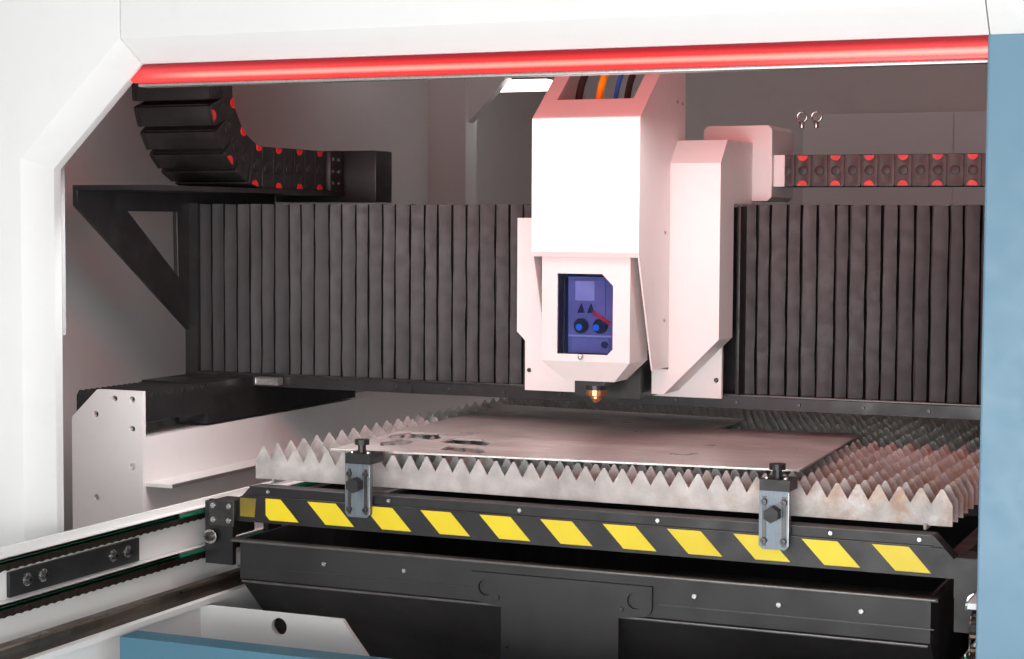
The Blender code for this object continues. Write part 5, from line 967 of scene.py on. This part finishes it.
class LASER_OT_head(MachinePiece, bpy.types.Operator):
    """Head details: optics behind the safety window that glow as painted light, latch ball, nozzle nut and
    ring
    """

    bl_idname = "laser.head"
    bl_label = "Head"

    def execute(self, context):
        back = 0.8315
        for name, low, high, start, depth, paint in (
                ("back", (-0.1575, 1.128), (-0.033, 1.300), back, 0.004, "lit_panel"),
                ("side", (-0.1572, 1.129), (-0.1505, 1.299), back - 0.004, 0.012, "lit_dark"),
                ("plate", (-0.148, 1.214), (-0.060, 1.293), back - 0.004, 0.006, "lit_panel"),
                ("cover", (-0.130, 1.247), (-0.084, 1.291), back - 0.010, 0.005, "lit_pale"),
                ("rail", (-0.148, 1.1655), (-0.045, 1.1695), back - 0.004, 0.006, "lit_pale"),
                ("base", (-0.137, 1.131), (-0.050, 1.163), back - 0.004, 0.009, "lit_panel")):
            plate = start_box("optics_" + name, (low[0], start - depth, low[1]), (high[0], start, high[1]))
            self.behind_glass(softened(recessed(plate, TO_FRONT, 0.0012, 0.0006), 0.0005), paint)
        marks = []
        for x in (-0.1175, -0.0945):
            outline = [(x - 0.009, 1.219), (x + 0.009, 1.219), (x + 0.001, 1.241)]
            marks.append(softened(drawn("optics_marks", "Y", back - 0.012, back - 0.004, outline), 0.0008))
        self.behind_glass(joined("optics_marks", marks), "lit_dark")
        knobs = [self.button("optics_knobs", 0.0085, 0.010, 18, 0.002, 3, (x, back - 0.002, 1.187))
                 for x in (-0.122, -0.081)]
        self.behind_glass(joined("optics_knobs", knobs), "blue_knob")
        cap = self.button("optics_round", 0.008, 0.004, 18, 0.001, 2, (-0.059, back - 0.012, 1.149))
        self.behind_glass(cap, "lit_dark")
        lever = tube("optics_lever", [(-0.090, back - 0.009, 1.221), (-0.075, back - 0.011, 1.213),
                                      (-0.060, back - 0.010, 1.203), (-0.048, back - 0.008, 1.196)], 0.0042)
        self.behind_glass(lever, "red_lever")
        for index, x in enumerate((-0.102, -0.090, -0.078, -0.066)):
            led = self.button("status_led_%d" % (index + 1), 0.0034, 0.003, 14, 0.001, 3, (x, 0.8285, 1.1365))
            placed(led, "head", "led_green" if index else "led_orange", "lamp_white")
        self.latch()
        ring = moved(start_ring("nozzle_ring", 0.0145, 0.0022), shift(-0.095, 0.862, 1.031))
        placed(ring, "head", "copper", "copper", 60)
        nut = softened(rimmed(start_rod("nozzle_nut", 0.0235, 0.010, 6), 0.004), 0.001)
        placed(moved(nut, shift(-0.095, 0.862, 1.034)), "head", "bolt")
        return {"FINISHED"}

    # Optics behind the safety window, finished to glow as painted light.
    def behind_glass(self, thing, paint):
        placed(thing, "head", paint, "blue_pane")

    def button(self, name, radius, height, sides, rounding, segments, place):
        """A round piece with a soft rim that faces the front."""
        return moved(softened(start_rod(name, radius, height, sides), rounding, segments),
                     stand_at(place, TO_FRONT))

    def latch(self):
        """Small chrome ball on a stem, under the window."""
        stem = rimmed(start_rod("latch_ball", 0.003, 0.012, 14), 0.0006)
        bpy.ops.mesh.primitive_uv_sphere_add(segments=20, ring_count=12, radius=0.0072,
                                             location=(0, 0, 0.014))
        ball = edited(started("latch_ball"), "FACE", facing(UPWARDS, 0.97), inset(0.0004))
        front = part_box("safety_window")[0].y + 0.0005
        latch = moved(joined("latch_ball", [stem, ball]), stand_at((-0.103, front, 1.1225), TO_FRONT))
        placed(latch, "head", "chrome", "chrome", 60)


class LASER_OT_pallet_front(MachinePiece, bpy.types.Operator):
    """Hazard stripes, screws, edges and the cap of a corner bracket on the pallet's front beam"""

    bl_idname = "laser.pallet_front"
    bl_label = "Pallet Front"

    def execute(self, context):
        front = 0.4298
        foot, top, lean, width = 0.7670, 0.8145, 0.0455, 0.070
        stripes = []
        for i in range(11):
            right = -0.620 + context.scene.laser_looks.stripe_pitch * i
            outline = [(right - width, foot), (right, foot), (right - lean, top), (right - lean - width, top)]
            if i == 0:
                outline = [(-0.693, foot), (right, foot), (right - lean, top), (-0.703, top), (-0.703, 0.778)]
            if i == 10:
                outline[1] = (min(right, 0.744), foot)
            stripes.append(softened(drawn("hazard_stripes", "Y", front - 0.0008, front + 0.003, outline),
                                    0.0002, 1))
        placed(joined("hazard_stripes", stripes), "pallet", "yellow", "white_paint")
        spots = [(x, front + 0.0062, 0.8285) for x in (-0.70, -0.403, -0.10, 0.20, 0.55, 0.72)]
        screws("band_screws", 0.0045, 0.003, spots, TO_FRONT, "pallet", "bolt")
        edges = [strip("band_edges", (-0.745, front - 0.0004, z), (0.745, front + 0.006, z + 0.0018),
                       0.0004, 1) for z in (0.8165, 0.8375)]
        placed(joined("band_edges", edges), "pallet", "dark_bolt")
        bolts = [(-0.837, 0.4165, 0.723), (0.829, 0.4165, 0.723)]
        washers("bracket_washers", 0.0165, 0.0025, 24, 0.0005, bolts, TO_FRONT, "pallet")
        heads = [(x, y - 0.002, z) for x, y, z in bolts]
        screws("bracket_bolts", 0.0105, 0.008, heads, TO_FRONT, "pallet", "dark_bolt")
        block = start_box("bracket_cap", (-0.838, 0.4105, 0.7495), (-0.773, 0.4235, 0.8075))
        block = softened(recessed(block, TO_FRONT, 0.004, 0.0008), 0.002)
        placed(block, "pallet", "dark_bolt", "black_paint")
        spots = [(-x, 0.4108, z) for x in (0.825, 0.785) for z in (0.763, 0.794)]
        screws("bracket_cap_screws", 0.0062, 0.004, spots, TO_FRONT, "pallet", "bolt")
        # A darker copy of the hazard yellow on the patch between the bracket cap and the stripes.
        patch = drawn("corner_marking", "Y", front - 0.0008, front + 0.002,
                      [(-0.768, 0.771), (-0.731, 0.771), (-0.727, 0.812), (-0.768, 0.812)])
        placed(softened(patch, 0.0002, 1), "pallet", "dark_yellow", "white_paint")
        return {"FINISHED"}


class LASER_OT_clamps(MachinePiece, bpy.types.Operator):
    """Slots drawn as dark plates of painted shade, screws and bright edges of the two clamps"""

    bl_idname = "laser.clamps"
    bl_label = "Clamps"

    def execute(self, context):
        apart, slot_half, slot_foot, slot_top = 0.0195, 0.004, 0.797, 0.895
        for side in ("left", "right"):
            low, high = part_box("clamp_plate_" + side)
            middle = (low.x + high.x) / 2
            front = low.y
            slot_shades = []
            # Each slot is a dark plate on the clamp's face: painted shade in place of an opening.
            for x in (middle - apart, middle + apart):
                outline = [(x - slot_half, slot_foot), (x + slot_half, slot_foot), (x + slot_half, slot_top),
                           (x - slot_half, slot_top)]
                cut = drawn("clamp_slot_shade_" + side, "Y", front - 0.0006, front + 0.003, outline)
                slot_shades.append(softened(cut, 0.0004, 1))
            placed(joined("clamp_slot_shade_" + side, slot_shades), "pallet", "dark_bolt", "black_paint")
            spots = [(middle + x, front - 0.0002, z) for x in (-apart, apart) for z in (0.808, 0.884)]
            screws("clamp_screws_" + side, 0.0062, 0.005, spots, TO_FRONT, "pallet", "dark_bolt")
            shine = strip("clamp_edge_" + side, (high.x - 0.0025, front - 0.0008, 0.799),
                          (high.x - 0.0002, front + 0.004, 0.903), 0.0005, 1)
            placed(shine, "pallet", "edge")
            jaw_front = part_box("clamp_jaw_" + side)[0].y + 0.012
            spots = [(middle + x, jaw_front, 0.9268) for x in (-0.019, 0.019)]
            screws("jaw_screws_" + side, 0.0055, 0.004, spots, UPWARDS, "jaw_" + side, "bolt")
        return {"FINISHED"}


class LASER_OT_slats(MachinePiece, bpy.types.Operator):
    """Serrated slats at their real pitch, with worn tips"""

    bl_idname = "laser.slats"
    bl_label = "Slats"

    def execute(self, context):
        looks = context.scene.laser_looks
        half, foot, notch, tip = 0.77, 0.8465, 0.8870, 0.9195
        tooth = 2 * half / looks.slat_teeth
        place = random.Random(5)
        slats = []
        for kind in range(4):
            line = [(-half, foot), (half, foot)]
            for i in reversed(range(looks.slat_teeth)):
                x = -half + tooth * i
                wear = place.uniform(0, 0.0028)
                flat = 0.0016 + wear * 0.6
                line.append((x + tooth, notch + place.uniform(-0.001, 0.001)))
                line.append((x + tooth / 2 + flat, tip - wear))
                line.append((x + tooth / 2 - flat, tip - wear))
            line.append((-half, notch))
            slat = drawn("slat_%d" % kind, "Y", -0.0015, 0.0015, line)
            moves = [shift(place.uniform(-0.002, 0.002) if i > 2 else 0, 0.50 + looks.slat_pitch * i, 0)
                     for i in range(kind, looks.slat_count, 4)]
            slats.append(repeated(slat, moves))
        combs = [strip("comb", (x - 0.003, 0.488, 0.8385), (x + 0.003, 3.405, 0.8495), 0.0008, 1)
                 for x in (-0.72, 0.72)]
        grid = joined("slats", slats + combs)
        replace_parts(placed(grid, "pallet", "zinc", "zinc_steel", 20), "slat_grid")
        return {"FINISHED"}


class LASER_OT_sheet(MachinePiece, bpy.types.Operator):
    """Steel sheet on the slats with its cut-outs and a bright cut edge"""

    bl_idname = "laser.sheet"
    bl_label = "Steel Sheet"

    def execute(self, context):
        low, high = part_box("steel_sheet")
        outline = [(-0.575, 0.49), (0.445, 0.60), (0.415, 1.28), (0.075, 1.25), (0.075, 1.49), (-0.625, 1.55)]
        holes = (
            [(-0.554, 0.722), (-0.495, 0.745), (-0.445, 0.735), (-0.442, 0.777), (-0.491, 0.855),
             (-0.558, 0.851), (-0.572, 0.776)],
            [(-0.531, 0.640), (-0.504, 0.589), (-0.460, 0.618), (-0.470, 0.701), (-0.510, 0.711)],
            [(-0.414, 0.782), (-0.415, 0.702), (-0.385, 0.693), (-0.290, 0.688), (-0.298, 0.728),
             (-0.345, 0.789)],
            [(-0.367, 0.656), (-0.353, 0.583), (-0.314, 0.575), (-0.249, 0.559), (-0.245, 0.592),
             (-0.295, 0.653)],
        )
        plate = drawn("rolled_sheet", "Z", low.z, high.z, outline, *holes)
        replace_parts(placed(plate, "pallet", "sheet", "bright_steel", 20), "steel_sheet")
        first, last = (Vector((*corner, 0)) for corner in outline[:2])
        front = last - first
        rim = strip("sheet_front_edge", (0.002, -0.0004, low.z + 0.0006),
                    (front.length - 0.002, 0.001, high.z + 0.0002), 0.0002, 1)
        turn = Matrix.Rotation(math.atan2(front.y, front.x), 4, "Z")
        placed(moved(rim, Matrix.Translation(first) @ turn), "pallet", "edge")
        return {"FINISHED"}


class LASER_OT_rails(MachinePiece, bpy.types.Operator):
    """Roller chains, green slide strips, fish plate and bolts on the pallet's rails"""

    bl_idname = "laser.rails"
    bl_label = "Rails and Drive Chains"

    def execute(self, context):
        for side in ("left", "right"):
            self.roller_chain("drive_chain_" + side, context.scene.laser_looks.roller_pitch)
        self.strips()
        plate = drawn("fish_plate", "X", -0.8865, -0.8785,
                      [(-0.218, 0.7005), (0.207, 0.7005), (0.207, 0.7495), (-0.218, 0.7495)])
        placed(softened(plate, 0.0015), "machine", "black", "black_paint")
        spots = [(-0.8787, y, 0.727) for y in (-0.166, -0.117, 0.113, 0.164)]
        washers("fish_plate_washers", 0.013, 0.0022, 20, 0.0004, spots, TO_RIGHT, "machine")
        heads = [(x + 0.002, y, z) for x, y, z in spots]
        screws("fish_plate_bolts", 0.008, 0.007, heads, TO_RIGHT, "machine", "dark_bolt")
        return {"FINISHED"}

    def roller_chain(self, node, pitch):
        """A closed loop of waisted link plates and rollers."""
        low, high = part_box(node)
        height = 0.018
        radius = (high.z - low.z) / 2 - height / 2
        middle = (low.z + high.z) / 2
        width = high.x - low.x - 0.002
        start = low.y + radius + height / 2
        end = high.y - radius - height / 2
        round_trip = 2 * (end - start) + math.tau * radius
        count = int(round_trip / pitch)
        pitch = round_trip / count
        place, length = chain_line(end, middle - radius, radius, start, start, 1)
        shape = ((-1, -0.55), (-0.75, -1), (-0.2, -0.75), (0.2, -0.75), (0.75, -1), (1, -0.55),
                 (1, 0.55), (0.75, 1), (0.2, 0.75), (-0.2, 0.75), (-0.75, 1), (-1, 0.55))
        outline = [(u * pitch * 0.5 + math.copysign(pitch * 0.06, u), v * height * 0.46) for u, v in shape]
        things = [drawn(node, "X", side * width / 2, side * (width / 2 - 0.002), outline) for side in (1, -1)]
        roller = start_rod(node, height * 0.36, width - 0.003, 8)
        things.append(moved(roller, stand_at((-(width - 0.003) / 2, pitch / 2, 0), TO_RIGHT)))
        link = joined(node + "_links", things)
        across = (low.x + high.x) / 2
        moves = []
        for i in range(count):
            way = pitch * (i + 0.5)
            if way < length:
                y, z, slope = place(way)
            else:
                angle = (way - length) / radius
                y = start - radius * math.sin(angle)
                z = middle + radius * math.cos(angle)
                slope = math.pi + angle
            moves.append(shift(across, y, z) @ Matrix.Rotation(slope, 4, "X"))
        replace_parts(placed(repeated(link, moves), "machine", "chain", "dark_steel", 30), node)

    def strips(self):
        """Green slide strips over the chains, each with a pale guide edge on it."""
        inside, outside, outer_end = 0.8625, 0.8665, (-3.34, 0.335)
        green = []
        pale = []
        for side, node in ((-1, "drive_chain_left"), (1, "drive_chain_right")):
            low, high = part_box(node)
            spans = [(low.y, high.y), outer_end] if side < 0 else [(low.y, high.y)]
            near, far = sorted((side * outside, side * inside))
            for z in (0.774, 0.687):
                for start, end in spans:
                    green.append(strip("slide_strips", (near, start, z - 0.0015), (far, end, z + 0.0045),
                                       0.0006, 1))
                    pale.append(strip("guide_edges", (near, start, z + 0.0048),
                                      (far - 0.001, end, z + 0.0098), 0.0006, 1))
        placed(joined("slide_strips", green), "machine", "green", "black_plastic")
        placed(joined("guide_edges", pale), "machine", "alloy")


class LASER_OT_chute(MachinePiece, bpy.types.Operator):
    """Screws, folded edges and the seams on the chute's front"""

    bl_idname = "laser.chute"
    bl_label = "Scrap Chute"

    def execute(self, context):
        low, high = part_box("scrap_chute")
        front, plate_front, lip_front = 0.3998, 0.3918, 0.3838
        spots = [(x, front, z) for x, z in ((-0.540, 0.688), (-0.348, 0.689), (0.29, 0.690), (0.46, 0.688),
                                            (0.62, 0.690))]
        screws("chute_screws", 0.0052, 0.0032, spots, TO_FRONT, "machine", "bolt")
        spots = [(x, plate_front, z) for x, z in ((-0.130, 0.652), (-0.109, 0.553), (0.140, 0.652))]
        screws("tow_plate_screws", 0.0048, 0.003, spots, TO_FRONT, "machine", "dark_bolt")
        lip = strip("chute_lip_edge", (low.x + 0.004, lip_front - 0.0006, high.z - 0.0060),
                    (high.x - 0.004, lip_front + 0.003, high.z - 0.0008), 0.0008)
        placed(lip, "machine", "worn_edge")
        knee = strip("chute_knee", (low.x + 0.020, front - 0.0012, 0.6315),
                     (high.x - 0.020, front + 0.003, 0.6365), 0.0009)
        placed(knee, "machine", "worn_edge")
        seams = [strip("chute_seams", (start, front - 0.0006, 0.6655), (end, front + 0.002, 0.6685),
                       0.0004, 1) for start, end in ((-0.757, -0.197), (0.210, 0.757))]
        placed(joined("chute_seams", seams), "machine", "dark_bolt", "black_paint")
        return {"FINISHED"}


class LASER_OT_bed(MachinePiece, bpy.types.Operator):
    """Pale edges of the ledges on the bed's beams"""

    bl_idname = "laser.bed"
    bl_label = "Bed"

    def execute(self, context):
        for name, start, end in (("left", -1.103, -1.099), ("right", 1.099, 1.103)):
            ledge = strip("ledge_edge_" + name, (start, 0.66, 0.7812), (end, 4.44, 0.7905), 0.001, 1)
            placed(ledge, "machine", "alloy")
        return {"FINISHED"}


class LASER_OT_interior(MachinePiece, bpy.types.Operator):
    """Ring bolts behind the carriage, and the work lamp's lens"""

    bl_idname = "laser.interior"
    bl_label = "Interior"

    def execute(self, context):
        low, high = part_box("work_lamp")
        lens = start_box("lamp_lens", (low.x + 0.01, low.y + 0.01, low.z - 0.004),
                         (high.x - 0.01, high.y - 0.01, low.z + 0.004))
        placed(softened(recessed(lens, -UPWARDS, 0.004, 0.001), 0.001), "machine", "lamp", "lamp_white")
        rings = []
        for x in (0.233, 0.269):
            upright = shift(x, 1.40, 1.682) @ Matrix.Rotation(math.pi / 2, 4, "X")
            rings.append(moved(start_ring("ring_bolts", 0.012, 0.0035), upright))
            foot = softened(start_rod("ring_bolts", 0.0065, 0.016), 0.001)
            rings.append(moved(foot, shift(x, 1.40, 1.6548)))
        placed(joined("ring_bolts", rings), "carriage", "bolt", angle=60)
        return {"FINISHED"}


# Name, place, aim, width, height, power and colour of each light
LIGHTS = (
    ("low_softbox", (0.5, -2.3, 0.66), (0.1, 0.5, 1.4), 3.0, 0.7, 38.0, (1, 1, 1)),
    ("front_softbox", (1.2, -4.8, 1.35), (-0.2, 0.6, 0.9), 3.0, 1.5, 86.0, (1, 1, 1)),
    ("left_softbox", (-4.2, -4.0, 2.0), (-0.6, 0.5, 1.0), 2.4, 2.0, 16.0, (1, 1, 1)),
    ("pallet_light", (0.0, 0.66, 1.66), (0.0, 0.66, 0.0), 1.9, 0.18, 5.0, (1, 1, 1)),
    ("bed_light", (-0.78, 0.34, 1.45), (-1.35, 0.75, 0.75), 0.35, 0.35, 4.5, (1, 1, 1)),
    ("cabin_light", (0.1, 3.0, 2.44), (0.1, 3.0, 0.0), 2.8, 1.4, 8.0, (1, 0.96, 0.95)),
    ("roof_softbox", (0.0, 4.6, 9.0), (0.0, 4.6, 2.5), 9.0, 7.0, 520.0, (1, 1, 1)),
    ("back_softbox", (0.0, 13.0, 4.0), (0.0, 4.7, 1.2), 8.0, 4.0, 420.0, (1, 1, 1)),
    ("right_softbox", (9.5, 3.0, 4.0), (1.8, 2.5, 1.2), 8.0, 4.0, 420.0, (1, 1, 1)),
    ("far_left_softbox", (-9.5, 4.0, 4.0), (-1.8, 2.8, 1.2), 8.0, 4.0, 420.0, (1, 1, 1)),
    ("red_bar_light", (0.05, 0.12, 1.70), (0.05, 1.1, 1.74), 1.66, 0.03, 8.0, (1.0, 0.03, 0.02)),
)


class LASER_OT_stage(MachinePiece, bpy.types.Operator):
    """Pale floor, soft studio light, red glow along the bar, and the camera"""

    bl_idname = "laser.stage"
    bl_label = "Stage"

    def execute(self, context):
        scene = context.scene
        bpy.ops.object.select_all(action="DESELECT")
        bpy.ops.mesh.primitive_plane_add(size=60, location=(0, 0, 0))
        floor = started("studio_floor")
        floor.data.materials.append(finish("floor"))
        for light in LIGHTS:
            self.light(*light)
        scene.world = bpy.data.worlds.new("studio_air")
        scene.world.use_nodes = True
        air = scene.world.node_tree.nodes["Background"]
        air.inputs["Color"].default_value = (1, 1, 1, 1)
        air.inputs["Strength"].default_value = 0.36
        scene.view_settings.view_transform = "Standard"
        scene.camera = self.camera()
        return {"FINISHED"}

    def light(self, name, place, aim, width, height, power, colour):
        lamp = bpy.data.lights.new(name, "AREA")
        lamp.shape = "RECTANGLE"
        lamp.size = width
        lamp.size_y = height
        lamp.energy = power
        lamp.color = colour
        thing = bpy.data.objects.new(name, lamp)
        bpy.context.collection.objects.link(thing)
        thing.location = place
        thing.rotation_euler = (Vector(aim) - Vector(place)).to_track_quat("-Z", "Y").to_euler()
        thing.visible_camera = False

    def camera(self):
        """The photograph's camera: in front of the doorway's right side, turned to the left."""
        yaw, pitch, roll = (math.radians(a) for a in (-23.39, 3.38, -0.31))
        ahead = Vector((math.sin(yaw) * math.cos(pitch), math.cos(yaw) * math.cos(pitch), -math.sin(pitch)))
        level = Vector((math.cos(yaw), -math.sin(yaw), 0))
        down = ahead.cross(level)
        right = level * math.cos(roll) + down * math.sin(roll)
        up = level * math.sin(roll) - down * math.cos(roll)
        view = bpy.data.cameras.new("photo_camera")
        view.lens = 64.5
        view.sensor_width = 36
        thing = bpy.data.objects.new("photo_camera", view)
        bpy.context.collection.objects.link(thing)
        thing.matrix_world = shift(1.375, -3.02, 1.424) @ Matrix((right, up, -ahead)).transposed().to_4x4()
        return thing


class LASER_PT_panel(bpy.types.Panel):
    """Sizes and build steps in the sidebar"""

    bl_label = "Laser Cutting Machine"
    bl_idname = "LASER_PT_panel"
    bl_space_type = "VIEW_3D"
    bl_region_type = "UI"
    bl_category = "Laser Machine"

    def draw(self, context):
        for name in LaserLooks.__annotations__:
            self.layout.prop(context.scene.laser_looks, name)
        for step in STEPS:
            self.layout.operator(step.bl_idname)


STEPS = (LASER_OT_casing, LASER_OT_front_wall, LASER_OT_light_bar, LASER_OT_bellows, LASER_OT_energy_chains,
         LASER_OT_gantry, LASER_OT_carriage, LASER_OT_head, LASER_OT_pallet_front, LASER_OT_clamps,
         LASER_OT_slats, LASER_OT_sheet, LASER_OT_rails, LASER_OT_chute, LASER_OT_bed, LASER_OT_interior,
         LASER_OT_stage)
CLASSES = (LaserLooks,) + STEPS + (LASER_PT_panel,)


def register():
    for kind in CLASSES:
        bpy.utils.register_class(kind)
    bpy.types.Scene.laser_looks = bpy.props.PointerProperty(type=LaserLooks)


def unregister():
    del bpy.types.Scene.laser_looks
    for kind in reversed(CLASSES):
        bpy.utils.unregister_class(kind)


def main():
    """Build every piece in order."""
    register()
    bpy.ops.object.select_all(action="DESELECT")
    bpy.ops.laser.casing()
    bpy.ops.laser.front_wall()
    bpy.ops.laser.light_bar()
    bpy.ops.laser.bellows()
    bpy.ops.laser.energy_chains()
    bpy.ops.laser.gantry()
    bpy.ops.laser.carriage()
    bpy.ops.laser.head()
    bpy.ops.laser.pallet_front()
    bpy.ops.laser.clamps()
    bpy.ops.laser.slats()
    bpy.ops.laser.sheet()
    bpy.ops.laser.rails()
    bpy.ops.laser.chute()
    bpy.ops.laser.bed()
    bpy.ops.laser.interior()
    bpy.ops.laser.stage()
    bpy.context.view_layer.update()


if __name__ == "__main__":
    main()
